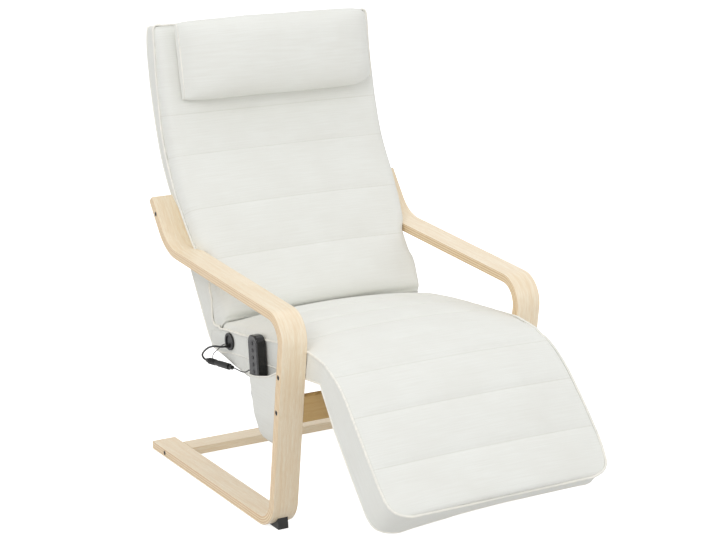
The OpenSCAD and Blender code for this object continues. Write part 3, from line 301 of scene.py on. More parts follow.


# the piping's colour is the cloth painted lighter, a painted highlight along piping, hems and seams
cotton = {"colour": paint(238, 239, 234), "shade": paint(233, 233, 227), "stitchAndShade": paint(206, 203, 190),
          "paintedHighlight": paint(252, 249, 240), "thread": 1.1, "roughness": 0.9, "sheen": 0.15, "stitchLength": 4.5,
          "cloud": (9, 9, 9), "slub": (12, 420, 12), "weaveBump": 0.14, "slubBump": 0.07, "stitchShadeTone": 0.4,
          "stitchBump": 0.35, "threadDepth": 0.0003, "slubDepth": 0.0008, "stitchWide": (0.0004, 0.0013)}


def cottonMaterial(name, ownMap=True, seams=False, tone="colour"):
    # plain weave with warp and weft ridges, slubs and uneven tone
    material = newMaterial(name, cotton[tone], cotton["roughness"], Sheen_Weight=cotton["sheen"], Sheen_Roughness=0.5)
    tree = material.node_tree
    spot = addNode(tree, "UVMap", uv_map="weave").outputs[0] if ownMap else objectPlace(tree)
    slubs = noiseOn(spot, cotton["slub"], 2.0)
    share = ranged(times(noiseOn(spot, cotton["cloud"]), slubs), 0.1, 0.36)
    colour = mixed(share, cotton["shade"], cotton[tone])
    wave = {"Vector": spot, "Scale": 2 * pi / 20 / (cotton["thread"] * mm), "Distortion": 1.5, "Detail": 1.0}
    threads = [addNode(tree, "TexWave", wave, bands_direction=way).outputs[1] for way in "XY"]
    surface = bump(maths("ADD", *threads), cotton["weaveBump"], cotton["threadDepth"])
    surface = bump(slubs, cotton["slubBump"], cotton["slubDepth"], surface)
    # the stitched lines along the channels are painted darker: the thread, with painted shade in its groove
    if seams:
        away = maths("ABSOLUTE", addNode(tree, "Attribute", attribute_name="seam").outputs["Fac"])
        across = addNode(tree, "SeparateXYZ", {0: spot}).outputs[0]
        turns = maths("SINE", times(across, 2 * pi / (cotton["stitchLength"] * mm)))
        stitched = times(ranged(away, *cotton["stitchWide"], 1.0, 0.0), ranged(turns, -0.5, 0.1, 0.35, 1.0))
        colour = mixed(times(stitched, cotton["stitchShadeTone"]), colour, cotton["stitchAndShade"])
        surface = bump(times(stitched, -1.0), cotton["stitchBump"], cotton["slubDepth"], surface)
    feed(tree, Base_Color=colour, Normal=surface)
    return material


padCloth = cottonMaterial("quilted cotton", seams=True)
bandCloth = cottonMaterial("plain cotton")
smallCloth = cottonMaterial("small cotton pieces", ownMap=False)
# the piping cloth is painted lighter than the pads: a painted highlight, not a different cloth
pipingHighlightCloth = cottonMaterial("cotton piping with painted highlight", ownMap=False, tone="paintedHighlight")

birch = {"light": paint(252, 241, 219), "dark": paint(238, 216, 182), "edge": paint(216, 176, 124),
         "paleEdge": paint(241, 219, 179), "glue": paint(150, 104, 62), "ply": 2.86, "roughness": 0.4,
         "railTone": (0.96, 0.96, 0.95), "stretcherShadeTone": (0.63, 0.49, 0.255), "glueTone": 0.75, "figureTone": 0.3,
         "grainBump": 0.12, "bentGrain": (9, 160, 60), "railGrain": (260, 9, 9), "crossGrain": (9, 190, 190)}


def birchMaterial(name, fibres, along=None, tone=(1.0, 1.0, 1.0)):
    # veneer under satin lacquer, with its layers on the narrow faces of a bent piece
    material = newMaterial(name, birch["light"], birch["roughness"], Coat_Weight=0.15, Coat_Roughness=0.25)
    tree = material.node_tree
    spot = addNode(tree, "Attribute", attribute_name=along).outputs["Vector"] if along else objectPlace(tree)
    figure = noiseOn(spot, fibres, 4.0, 0.6)
    fine = noiseOn(spot, tuple(7 * f for f in fibres))
    dark, light = (tuple(t * c for t, c in zip(tone, birch[key])) for key in ("dark", "light"))
    wood = mixed(ranged(times(figure, fine), 0.12, 0.42), dark, light)
    if along:
        wave = maths("SINE", times(addNode(tree, "SeparateXYZ", {0: spot}).outputs[2], pi / (birch["ply"] * mm)))
        line = ranged(maths("ABSOLUTE", wave), 0.0, 0.35, 1.0, 0.0)
        edge = mixed(ranged(wave, -0.3, 0.3), birch["edge"], birch["paleEdge"])
        edge = mixed(times(line, birch["glueTone"]), edge, birch["glue"])
        facing = addNode(tree, "SeparateXYZ", {0: addNode(tree, "TexCoord").outputs["Normal"]}).outputs[0]
        edge = mixed(times(figure, birch["figureTone"]), edge, birch["light"])
        wood = mixed(ranged(maths("ABSOLUTE", facing), 0.55, 0.85), wood, edge)
    surface = bump(fine, birch["grainBump"], 0.0004)
    feed(tree, Base_Color=wood, Roughness=uneven(fine, birch["roughness"]), Normal=surface)
    return material


bentBirch = birchMaterial("bent birch", birch["bentGrain"], "grain")
railBirch = birchMaterial("rail birch", birch["railGrain"], tone=birch["railTone"])
crossBirch = birchMaterial("cross birch", birch["crossGrain"], tone=birch["railTone"])
# the stretcher under the seat is painted darker and browner than the other birch: painted shade
shadedStretcherBirch = birchMaterial("stretcher birch with painted shade", birch["crossGrain"], tone=birch["stretcherShadeTone"])

moulded = {"patch": (35, 35, 35), "shade": 0.86, "pebbleBump": 0.3}
metal = {"scratch": (60, 900, 900), "shade": 0.8, "scratchBump": 0.15}


def mouldedMaterial(name, colour, roughness, texture=900.0, depth=0.05):
    colour = paint(*colour)
    material = newMaterial(name, colour, roughness)
    spot = objectPlace(material.node_tree)
    patches = noiseOn(spot, moulded["patch"])
    feed(material.node_tree, Roughness=uneven(patches, roughness),
         Base_Color=mixed(ranged(patches, 0.3, 0.7), tuple(moulded["shade"] * c for c in colour), colour),
         Normal=bump(noiseOn(spot, (texture,) * 3, 2.0), moulded["pebbleBump"], depth * mm))
    return material


def metalMaterial(name, colour, roughness):
    colour = paint(*colour)
    material = newMaterial(name, colour, roughness, Metallic=1.0)
    scratches = noiseOn(objectPlace(material.node_tree), metal["scratch"])
    feed(material.node_tree, Roughness=uneven(scratches, roughness, 0.08),
         Base_Color=mixed(scratches, tuple(metal["shade"] * c for c in colour), colour),
         Normal=bump(scratches, metal["scratchBump"], 0.00004))
    return material


blackPlastic, glossBlack, keypadGrey, darkKeys, ringGrey, cableRubber, bluePlastic, boardGreen, redFelt, foamCell = (
    mouldedMaterial(*values) for values in (
        ("black plastic", (27, 27, 28), 0.5), ("glossy shell", (12, 12, 13), 0.2, 1500.0, 0.01),
        ("grey keypad", (46, 46, 48), 0.42), ("dark keys", (26, 26, 28), 0.5), ("light key rings", (84, 84, 87), 0.4),
        ("cable rubber", (14, 14, 15), 0.46, 500.0), ("blue motor caps", (116, 178, 224), 0.42),
        ("circuit board", (30, 110, 62), 0.3, 300.0), ("red heating felt", (206, 52, 44), 0.95, 700.0, 0.4),
        ("open foam", (238, 230, 190), 0.95, 900.0, 0.6)))
brightSteel = metalMaterial("zinc plate", (196, 197, 200), 0.34)
blackSteel = metalMaterial("blackened steel", (70, 70, 72), 0.4)
print("materials made")

# Lines that the wood and the pads follow, as depth and height
sizes = {"half": 332.5, "thick": 20, "innerFace": 270.5}
chairLines = {
    "frame": [Vector(c) for c in ((480, 10), (-135.5, 10), (-196, 491), (372, 526), (453, 632))],
    "frameBends": [60, 55, 110],
    "pivot": (-260, 373.5), "rail": [(235, 325.5), (490, 692), (554.6, 1000)], "railBends": [70, 350], "railStart": 12,
    "footDrop": 46.9, "bolts": [(426, 600), (-179.7, 365), (-169.5, 283), (410, 10)],
}


def leftOf(way):
    return Vector((-way.y, way.x))


def bends(corners, radii):
    # for each corner, where its bend starts, its middle and its angle
    found = []
    for before, corner, after, radius in zip(corners, corners[1:], corners[2:], radii):
        into, out = (corner - before).normalized(), (after - corner).normalized()
        turned = atan2(into.x * out.y - into.y * out.x, into.dot(out))
        start = corner - into * radius * tan(abs(turned) / 2)
        found.append((start, start + leftOf(into) * copysign(radius, turned), turned))
    return found


def bentLine(corners, radii, steps=40):
    line = [corners[0]]
    for start, middle, turned in bends(corners, radii):
        line += [middle + Matrix.Rotation(turned * i / steps, 2) @ (start - middle) for i in range(steps + 1)]
    return line + [corners[-1]]


def follow(line):
    # the spot and the upward direction at a distance along a line and past its ends
    run = runAlong(line)

    def spotAt(s):
        i = min(max(bisect_right(run, s) - 1, 0), len(line) - 2)
        return line[i] + (line[i + 1] - line[i]).normalized() * (s - run[i])

    return lambda s: (spotAt(s), leftOf((spotAt(s + 3) - spotAt(s - 3)).normalized()))


def table(*pairs):
    # a value that runs smoothly through the chosen ones, never past them
    xs, ys = [p[0] for p in pairs], [p[1] for p in pairs]
    slopes = [(d - b) / (c - a) for a, b, c, d in zip(xs, ys, xs[1:], ys[1:])]
    ways = [slopes[0]] + [2 * a * b / (a + b) if a * b > 0 else 0.0 for a, b in zip(slopes, slopes[1:])] + [slopes[-1]]

    def at(x):
        x = min(max(x, xs[0]), xs[-1])
        i = min(bisect_right(xs, x) - 1, len(xs) - 2)
        w = xs[i + 1] - xs[i]
        t = (x - xs[i]) / w
        return (ys[i] * (1 + 2 * t) * (1 - t) ** 2 + ys[i + 1] * t * t * (3 - 2 * t)
                + w * (ways[i] * t * (1 - t) ** 2 - ways[i + 1] * t * t * (1 - t)))
    return at


pivot = Vector(chairLines["pivot"])
seatWay = (Vector(chairLines["rail"][0]) - pivot).normalized()
seatUp = leftOf(seatWay)
drop = radians(chairLines["footDrop"])
footWay = -Vector((cos(drop), sin(drop)))
footUp = -leftOf(footWay)
railCorners = [pivot + seatWay * chairLines["railStart"], *(Vector(c) for c in chairLines["rail"])]
onRail = follow(bentLine(railCorners, chairLines["railBends"]))


def onFoot(f):
    return pivot + footWay * f, footUp


# The pads: heights above the rails' middle line and half widths, at places along it
back = {
    "line": onRail, "ends": (489, 1255), "channels": [655, 780, 935, 1045],
    "curves": {
        "top": table((489, 50), (500, 56), (512, 64), (534, 75), (597, 79), (650, 78), (710, 80), (782, 83),
            (857, 84), (956, 80), (1030, 73), (1060, 70), (1183, 66), (1238, 60), (1252, 51)),
        "seam": table((500, 28), (515, 15), (530, 17), (545, 26), (579, 46), (603, 48), (760, 48), (899, 50),
            (964, 45), (1042, 39), (1116, 39), (1190, 45), (1252, 50)),
        "half": table((500, 266.5), (530, 273), (592, 274), (612, 268.6), (662, 268.6), (700, 281), (782, 288),
            (850, 291), (1000, 291), (1060, 290), (1225, 288.5), (1244, 288.5), (1252, 286), (1255, 284)),
        "hem": table((500, 267.4), (790, 267.8), (850, 278), (950, 283), (1225, 284), (1242, 284), (1252, 282)),
        "shoulder": table((500, 8), (540, 22), (900, 24), (1060, 20), (1225, 15), (1252, 5)),
        "crown": table((500, 6), (560, 16), (900, 14), (1000, 6), (1060, 2), (1240, 1.5), (1252, 1)),
        "under": table((500, 10.2), (1240, 10.2), (1252, 14)),
    },
}
seat = {
    "line": onRail, "ends": (6, 477), "channels": [110, 225, 340],
    "curves": {
        "top": table((6, 43), (15, 45), (53, 51.5), (100, 58), (160, 62), (260, 64), (380, 60), (452, 50),
            (468, 48), (477, 48)),
        "seam": table((6, 43), (15, 44.6), (53, 50.6), (110, 51), (250, 45), (366, 38.5), (442, 38.5), (468, 34),
            (477, 32)),
        "half": table((6, 268), (40, 268), (150, 270), (440, 270), (468, 266.5)),
        "hem": table((6, 267.8), (477, 267.8)),
        "shoulder": table((6, 4), (53, 5), (120, 13), (200, 19), (440, 19), (468, 8)),
        "crown": table((6, 10), (36, 16), (438, 15), (468, 5.6)),
        "under": table((6, 21), (34, 20), (58, 10.2), (468, 10.2)),
    },
}
foot = {
    "line": onFoot, "ends": (14, 362), "channels": [24, 130, 248],
    "endLift": table((-226, 0), (-195, 11), (-138, 21), (-94, 31), (-23, 39), (12, 42), (205, 42), (226, 38)),
    "curves": {
        "top": table((14, 48.5), (32, 56), (50, 62), (70, 66.5), (90, 70.5), (120, 73.5), (204, 75), (280, 74.5),
            (310, 77), (350, 80), (358, 80), (362, 77)),
        "half": table((14, 270), (60, 272), (120, 276), (200, 277.5), (320, 278), (334, 275.5), (343, 271),
            (350, 264), (355, 256), (358.5, 247), (361, 236), (362, 226)),
        "shoulder": table((14, 5), (60, 5), (362, 4)),
        "crown": table((14, 13), (350, 12), (362, 9)),
        "under": table((14, 21), (34, 20), (58, 10.2), (338, 10.2), (341, -3), (355, -5), (362, 1)),
        "left": table((14, 1.012), (60, 1.01), (120, 1.0), (270, 1.0), (300, 0.987), (325, 0.968), (362, 0.963)),
        "rise": table((334, 0), (344, 0.4), (354, 0.9), (362, 1)),
    },
}
knee = {"rings": 10, "away": (17.4, 13.4), "top": (43, 48.5), "dip": 7, "under": 21, "pinch": 4, "half": (268, 270),
        "crown": (10, 13)}
pads = {
    "channelDepth": 3.6, "channelReach": 15, "power": 2.4, "step": 9, "across": 58, "up": 12, "crowding": 1.2,
    "nearChannel": (-13, -9, -6, -3.5, -1.5, 0, 1.5, 3.5, 6, 9, 13), "nearEnd": (0, 2, 5, 10),
    "freeEnd": 20, "freeSeam": 18, "swell": 5, "pressure": 4.0, "uneven": 1.1, "gather": 0.7,
    "pucker": 1.5, "puckerReach": 17, "puckerLength": 15, "unevenLength": 160, "gatherReach": 20,
    "gatherLength": (11, 30), "railTop": 10.2, "side": 268, "hemSide": 267.8,
}


def dome(share):
    return 1 - abs(share) ** pads["power"]


def rows(part):
    # rows along a pad, closer together at its channels and ends
    first, last = part["ends"]
    close = [c + d for c in part["channels"] for d in pads["nearChannel"]]
    close += [first + d for d in pads["nearEnd"]] + [last - d for d in pads["nearEnd"]]
    count = round((last - first) / pads["step"])
    loose = [first + (last - first) * i / count for i in range(count + 1)]
    return sorted(set(close + [s for s in loose if min(abs(s - c) for c in close) > pads["step"] / 2]))


def ring(base, low, high, half, crown, away=100.0, seam=None, hemHalf=None, shoulder=4.0):
    spot, up = base
    dip = max(0.0, 1 - abs(away) / pads["channelReach"])
    return {"spot": spot, "up": up, "low": low, "high": high, "half": half, "crown": crown, "away": away,
            "seam": high if seam is None else max(seam, low + 2), "hemHalf": half if hemHalf is None else hemHalf,
            "shoulder": shoulder, "left": 1.0, "rise": 0.0, "dip": pads["channelDepth"] * dip * dip * (3 - 2 * dip)}


def sideHalf(r, height):
    # half the width at a height: a wall up to the seam, then a rounded shoulder
    if height <= r["seam"]:
        return r["hemHalf"] + (r["half"] - r["hemHalf"]) * max(0.0, (height - r["low"]) / (r["seam"] - r["low"]))
    t = min(1.0, (height - r["seam"]) / max(r["high"] - r["seam"], 0.01))
    return r["half"] - r["shoulder"] * (1 - sqrt(1 - t * t))


def between(ends, t):
    return ends[0] * (1 - t) + ends[1] * t


def kneeRing(t):
    # between the seat and the footrest the rings turn round the hinge
    bend, middle = between([atan2(up.y, up.x) for up in (seatUp, footUp)], t), sin(pi * t)
    spot = pivot + (seatWay if t < 0.5 else footWay) * between(knee["away"], t) * abs(1 - 2 * t)
    return ring((spot, Vector((cos(bend), sin(bend)))), knee["under"] - knee["pinch"] * middle,
                between(knee["top"], t) - knee["dip"] * middle, between(knee["half"], t), between(knee["crown"], t))


def padRing(part, s, half=None, away=100.0):
    # a pad's outline at a place along it, at its own half width or another
    at = {key: curve(s) for key, curve in part["curves"].items()}
    share = 1.0 if half is None else half / at["half"]
    base = ring(part["line"](s), at["under"], at["top"], share * at["half"], at["crown"], away, at.get("seam"),
                share * at.get("hem", at["half"]), at["shoulder"])
    return {**base, "left": at.get("left", 1.0), "rise": at.get("rise", 0.0)}  # left draws the left edge in


backRings, seatRings, footRings = (
    [padRing(part, s, away=min((s - c for c in part["channels"]), key=abs)) for s in rows(part)]
    for part in (back, seat, foot))
kneeRings = [kneeRing(i / knee["rings"]) for i in range(1, knee["rings"])]
legRings = seatRings[::-1] + kneeRings + footRings


def sidePoint(r, height):
    return r["spot"] + r["up"] * height


def padMesh(name, rings):
    # each row of a cut cube is laid on its ring
    cells = len(rings) - 1
    bm = cutCube(pads["across"], cells, pads["up"])
    run = runAlong([sidePoint(r, r["high"]) for r in rings])
    seam, free, pucker = (bm.verts.layers.float.new(key) for key in ("seam", "free", "pucker"))
    flat = {}
    for v in bm.verts:
        u, row, k = v.co.x, round((v.co.y + 1) / 2 * cells), (v.co.z + 1) / 2
        u, r = crowded(u, pads["crowding"]), rings[row]
        top = r["high"] + r["crown"] * dome(u) - r["dip"] * dome(u * u)
        low = r["low"] + r["rise"] * foot["endLift"](u * r["half"])
        height = low + k * (top - low)
        x = u * sideHalf(r, min(height, r["high"])) * (r["left"] if u > 0 else 1.0)
        v.co = place(x, sidePoint(r, height))
        v[seam] = r["away"] * mm
        if k > 0.99:
            ends = min(run[row], run[-1] - run[row]) / pads["freeEnd"]
            v[free] = min(1.0, ends, abs(r["away"]) / pads["freeSeam"]) * min(1.0, (1 - abs(u)) * 12)
        if abs(u) > 0.96 and r["shoulder"] > 6:
            v[pucker] = max(0.0, 1 - abs(height - r["seam"]) / pads["puckerReach"])
        over = r["high"] - height if abs(u) > 0.999 else 0.0
        flat[v] = ((x + copysign(over, u)) * mm, run[row] * mm)
    mapped(bm, flat)
    faceOut(bm)
    return meshOf(name, bm)


cloth = {"frames": 20, "settings": {"quality": 5, "mass": 0.3, "tension_stiffness": 12, "compression_stiffness": 12,
                                    "bending_stiffness": 0.4, "use_pressure": True}}


def puff(piece, swell, pressure):
    # blows the cloth up a little; what isn't free stays where it is
    free = [a.value for a in piece.data.attributes["free"].data]
    rest = [v.co.copy() for v in piece.data.vertices]
    held = piece.vertex_groups.new(name="held")
    for i, share in enumerate(free):
        held.add([i], 1.0 - share, "REPLACE")
    sim = withModifier(piece, "CLOTH").modifiers[-1]
    setAll(sim.settings, **cloth["settings"], vertex_group_mass="held", uniform_pressure_force=pressure)
    sim.settings.effector_weights.gravity = 0
    setAll(sim.collision_settings, use_collision=False, use_self_collision=False)
    setAll(sim.point_cache, frame_start=1, frame_end=cloth["frames"])
    for number in range(1, cloth["frames"] + 1):
        scene.frame_set(number)
    blown = piece.evaluated_get(bpy.context.evaluated_depsgraph_get()).data
    moves = [v.co - co for v, co in zip(blown.vertices, rest)]
    piece.modifiers.clear()
    piece.vertex_groups.clear()
    cap = swell * mm
    for v, co, move in zip(piece.data.vertices, rest, moves):
        v.co = co + move * (cap * tanh(move.length / cap) / max(move.length, 1e-9))
    scene.frame_set(1)
    return settle(withModifier(piece, "SUBSURF", levels=1, render_levels=1))


def ruffled(piece, height):
    # moves every vertex along its normal
    moves = [v.normal * height(v) for v in piece.data.vertices]
    for v, move in zip(piece.data.vertices, moves):
        v.co += move
    return piece


def gathers(piece):
    # puckers where the cloth is drawn into a channel, and a little unevenness
    seam, pucker = ([a.value for a in piece.data.attributes[key].data] for key in ("seam", "pucker"))
    length, (across, along) = pads["puckerLength"] * mm, pads["gatherLength"]

    def height(v):
        away = seam[v.index] / mm
        drawn = max(0.0, 1 - abs(away) / pads["gatherReach"]) * noise((v.co.x / mm / across, away / along, 3.0))
        puckered = pucker[v.index] * noise((v.co.y / length, v.co.z / length, 4.0))
        wave = pads["uneven"] * noise(v.co / (pads["unevenLength"] * mm))
        return (wave + pads["gather"] * drawn + pads["pucker"] * puckered) * mm
    return ruffled(piece, height)


backPad = gathers(puff(padMesh("back_pad", backRings), pads["swell"], pads["pressure"]))
legPad = gathers(puff(padMesh("seat_and_leg_pad", legRings), pads["swell"], pads["pressure"]))
print("pads made of", len(backPad.data.polygons), "and", len(legPad.data.polygons), "faces")

# The cover's side band: one loop round the pads, from the piping to the hem below the rails
band = {
    "out": 1.6, "thick": 1.3, "rows": 9, "spacing": 9, "wrinkle": 1.5, "piping": 2.7, "hemPiping": 2.0, "pull": 1.2,
    "gapTop": 42.5, "gapSeam": 30, "tuck": 2.2, "tuckLength": 26, "tuckReach": 0.45, "middleHeight": 30,
    "crease": (50, 35), "fineCrease": 14, "wide": 90, "endSpacing": 12,
    "hem": table((-14, -12), (300, -12), (430, -14), (470, -26), (500, -34), (566, -33), (640, -30), (700, -27),
                 (790, -14), (852, 4), (910, 6), (968, 3), (1044, -5), (1119, -8), (1193, -5), (1225, 0), (1255, 8)),
    "footHem": table((0, -12), (60, -15), (300, -15), (335, -11), (350, -7), (362, -2)),
    "corner": [(271, 1256), (278.5, 1257), (284, 1255.5), (287.5, 1250)],
    "endRows": (334, 339, 343, 347, 350.5, 353.5, 356, 358.5, 360.2, 361.3, 362),
}


def bodyRing(s, x=None):
    if s > back["ends"][0]:
        base = padRing(back, min(s, back["ends"][1]), x)
    elif s < seat["ends"][1]:
        base = padRing(seat, s)
    else:  # the fold between seat and back
        base = ring(onRail(s), pads["railTop"], band["gapTop"], pads["side"], 0, seam=band["gapSeam"],
                    hemHalf=pads["hemSide"])
    spot, up = onRail(s)
    base = {**base, "spot": spot, "up": up, "half": max(base["half"], pads["side"]) if x is None else x}
    return {**base, "hem": sidePoint(base, band["hem"](s))}


def footSide(f, x=None):
    base = padRing(foot, f, x)
    return {**base, "low": min(base["low"], pads["railTop"]), "hem": sidePoint(base, band["footHem"](f))}


# inside the knee the two hems meet in one corner
kneeCorner = Vector(intersect_line_line_2d(
    pivot + seatUp * band["hem"](0) + seatWay * 99, pivot + seatUp * band["hem"](0) - seatWay * 99,
    pivot + footUp * band["footHem"](0) + footWay * 99, pivot + footUp * band["footHem"](0) - footWay * 99))
halfLoop = [bodyRing(back["ends"][1], x) for x in range(0, 265, band["endSpacing"])]
halfLoop += [bodyRing(s, x) for x, s in band["corner"]]
halfLoop += [bodyRing(s) for s in range(1237, 6, -band["spacing"])]
lastSeat, firstFoot = halfLoop[-1]["hem"], footSide(14)["hem"]
for i, r in enumerate(kneeRings, 1):
    share = i / knee["rings"]
    hem = lastSeat.lerp(kneeCorner, 2 * share) if share < 0.5 else kneeCorner.lerp(firstFoot, 2 * share - 1)
    halfLoop.append({**r, "hem": hem})
halfLoop += [footSide(f) for f in range(14, 330, band["spacing"])]
halfLoop += [footSide(f) for f in band["endRows"]]
halfLoop += [footSide(foot["ends"][1], x) for x in range(216, -1, -band["endSpacing"])]


def onSide(r, side):
    # a ring on the sitter's left (1) or right (-1), hitched up at the footrest's end
    half = r["half"] * (r["left"] if side > 0 else -1)
    hem = r["hem"] + r["up"] * r["rise"] * foot["endLift"](half)
    return {**r, "half": half, "hemHalf": r["hemHalf"] * half / r["half"] if r["half"] else 0, "hem": hem}


loop = [onSide(r, 1) for r in halfLoop] + [onSide(r, -1) for r in halfLoop[-2:0:-1]]
middles = [place(r["half"], sidePoint(r, band["middleHeight"])) for r in loop]
loopRun = [run / mm for run in runAlong(middles + middles[:1])]


def outwards(i):
    up = loop[i]["up"]
    return Vector((0, up.x, up.y)).cross(middles[(i + 1) % len(loop)] - middles[i - 1]).normalized()


def bandPoint(i, share, extra=0.0):
    # share is 0 at the hem and 1 at the piping
    r = loop[i % len(loop)]
    low, seam = sidePoint(r, r["low"]), sidePoint(r, r["seam"])
    spot = r["hem"].lerp(seam, share)
    k = max(0.0, (spot - low).dot(seam - low) / (seam - low).length_squared)
    half = r["hemHalf"] + (r["half"] - r["hemHalf"]) * min(k, 1.0)
    out = band["out"] + extra - band["pull"] * sin(pi * min(k, 1.0))
    return place(half, spot) + outwards(i % len(loop)) * out * mm


def bandSpot(i, j):
    share, spot = j / band["rows"], bandPoint(i, 0.4)
    long, short = (length * mm for length in band["crease"])
    crease = noise((spot.x / long + spot.z / short, spot.y / short, 3 * share))
    crease += 0.5 * noise(spot / (band["fineCrease"] * mm))
    wave = band["wrinkle"] * abs(crease) * sin(pi * min(1.0, 0.12 + share))
    tuck = max(0.0, noise((loopRun[i] / band["tuckLength"], share, 7.0)))
    wave += band["tuck"] * max(0.0, 1 - share / band["tuckReach"]) * tuck
    return bandPoint(i, share, wave), (loopRun[i] * mm, share * band["wide"] * mm)


def clothGrid(name, columns, rows, at, middle, closed=False):
    # a grid laid out point by point, facing away from the middle
    bm = bmesh.new()
    bmesh.ops.create_grid(bm, x_segments=columns, y_segments=rows, size=1)
    flat = {}
    for v in bm.verts:
        v.co, flat[v] = at(round((v.co.x + 1) / 2 * columns), round((v.co.y + 1) / 2 * rows))
    mapped(bm, flat)
    if closed:
        mergeDoubles(bm)
    faceAwayFrom(bm, middle)
    return meshOf(name, bm)


def thickened(piece, thick, levels=0):
    withModifier(piece, "SOLIDIFY", thickness=thick * mm, offset=-1, use_even_offset=False)
    if levels:
        withModifier(piece, "SUBSURF", levels=levels, render_levels=levels)
    return settle(piece)


def pipingAlong(name, line, radius):
    return settle(tubeAlong(name, line, radius, True, 2))


def hemPoint(i):
    return bandPoint(i, 0.0, 0.3 * noise((i / 3, 0, 0)))


bandGrid = clothGrid("cover_side_band", len(loop), band["rows"], bandSpot, place(0, (150, 400)), True)
coverBand = thickened(bandGrid, band["thick"], 1)
topPiping = pipingAlong("top_piping", [bandPoint(i, 1.0) for i in range(len(loop))], band["piping"])
hemPiping = pipingAlong("hem_piping", [hemPoint(i) for i in range(len(loop))], band["hemPiping"])
print("cover band of", round(loopRun[-1]), "mm round")

lining = {"width": 408, "lift": 6.8, "thick": 0.9, "wave": 0.25, "columns": 40, "back": (64, 1236), "foot": (64, 336)}


def clothAlong(name, part, base, path, middle, x=0):
    # a cloth laid along a line, with its places and heights on that line
    columns, run = part["columns"], runAlong(path)

    def at(i, j):
        s, height = path[j]
        spot, up = base(s)
        across = part["width"] * (i / columns - 0.5)
        height += part["wave"] * noise((across / 40, s / 30, 5))
        return place(x + across, spot + up * height), (across * mm, (path[0].x + run[j]) * mm)
    return thickened(clothGrid(name, columns, len(path) - 1, at, middle), part["thick"])


def liningPiece(name, base, span):
    count = round((span[1] - span[0]) / 9)
    path = [Vector((between(span, j / count), lining["lift"])) for j in range(count + 1)]
    return clothAlong(name, lining, base, path, place(0, (-200, 900)))


backLining = liningPiece("back_lining", onRail, lining["back"])
footLining = liningPiece("footrest_lining", onFoot, lining["foot"])

# The headrest pillow: a filled bolster with a panel at each end
sides = {"right": -1, "left": 1}
pillow = {
    "length": 512, "height": 188, "thick": 78, "middle": 9, "place": 1168, "lift": 66, "waist": 0.15, "square": 0.62,
    "swell": 4, "pressure": 4.0, "cells": (60, 16, 12), "crowding": 1.6, "seamAt": 0.004, "seam": 1.5, "round": 66,
    "uneven": 1.4, "unevenLength": 110, "fine": 0.5, "fineLength": (50, 20, 20),
    "share": table((0, 0.93), (0.02, 0.97), (0.06, 0.99), (0.14, 1), (0.5, 1)),
    "fullness": table((0, 0.14), (0.015, 0.34), (0.04, 0.55), (0.09, 0.76), (0.16, 0.9), (0.28, 1), (0.5, 1)),
    "lowTuck": table((0, 0.84), (0.05, 0.93), (0.12, 1), (0.5, 1)),
    "highTuck": table((0, 0.93), (0.03, 0.98), (0.07, 1), (0.5, 1)),
}


def onPillow(x, across, over):
    spot, up = onRail(pillow["place"])
    return place(x + pillow["middle"], spot - leftOf(up) * across + up * (pillow["lift"] + over))


def eased(share):
    return copysign(abs(share) ** pillow["square"], share)


def pillowRing(x, angle, share=1.0):
    end = 0.5 - abs(x) / pillow["length"]
    up, across = eased(sin(angle)), eased(cos(angle)) * share * pillow["share"](end)
    if x > 0:
        across *= pillow["lowTuck" if across < 0 else "highTuck"](end)  # its left corners are drawn in
    over = (pillow["waist"] if up < 0 else 1 - pillow["waist"]) * up * share * pillow["fullness"](end)
    return onPillow(x, across * pillow["height"] / 2, pillow["thick"] * (pillow["waist"] + over))


def pillowMesh():
    bm = cutCube(*pillow["cells"])
    flat, free = {}, bm.verts.layers.float.new("free")
    for v in bm.verts:
        u, y, z = v.co
        u = crowded(u, pillow["crowding"])
        v[free] = min(1.0, (1 - abs(u)) * 14) * min(1.0, max(0.0, 1.6 + z))
        x, angle = u * pillow["length"] / 2, atan2(z, y)
        v.co = pillowRing(x, angle, max(abs(y), abs(z)))
        flat[v] = (x * mm, angle * pillow["round"] * mm)
    mapped(bm, flat)
    faceOut(bm)
    return meshOf("headrest_cushion", bm)


def pillowUneven(v):
    fine = noise([c / (length * mm) for c, length in zip(v.co, pillow["fineLength"])])
    return (pillow["uneven"] * noise(v.co / (pillow["unevenLength"] * mm)) + pillow["fine"] * fine) * mm


headrest = ruffled(puff(pillowMesh(), pillow["swell"], pillow["pressure"]), pillowUneven)
pillowSeams = []
for key, side in sides.items():
    x = side * pillow["length"] * (0.5 - pillow["seamAt"])
    line = [pillowRing(x, tau * i / 72) for i in range(72)]
    pillowSeams.append(pipingAlong("pillow_seam_" + key, line, pillow["seam"]))

# Straps from the pillow over the top of the back and down behind it
straps = {"places": (-150, 150), "width": 30, "thick": 1.8, "wave": 0, "columns": 6,
          "bend": (1226, 1250), "bendLift": 60,
          "path": [(1218, 68), (1230, 66), (1242, 60), (1251, 54), (1257, 42), (1259, 24), (1258, 6), (1256, -6),
                   (1250, -14), (1236, -16), (1200, -16), (1150, -16)]}
strapPath = smoothLine([Vector(p) for p in straps["path"]], 6)
strapPieces = [clothAlong("headrest_strap_" + key, straps, onRail, strapPath, place(0, onRail(1200)[0]), x)
               for key, x in zip(sides, straps["places"])]
print("headrest made")

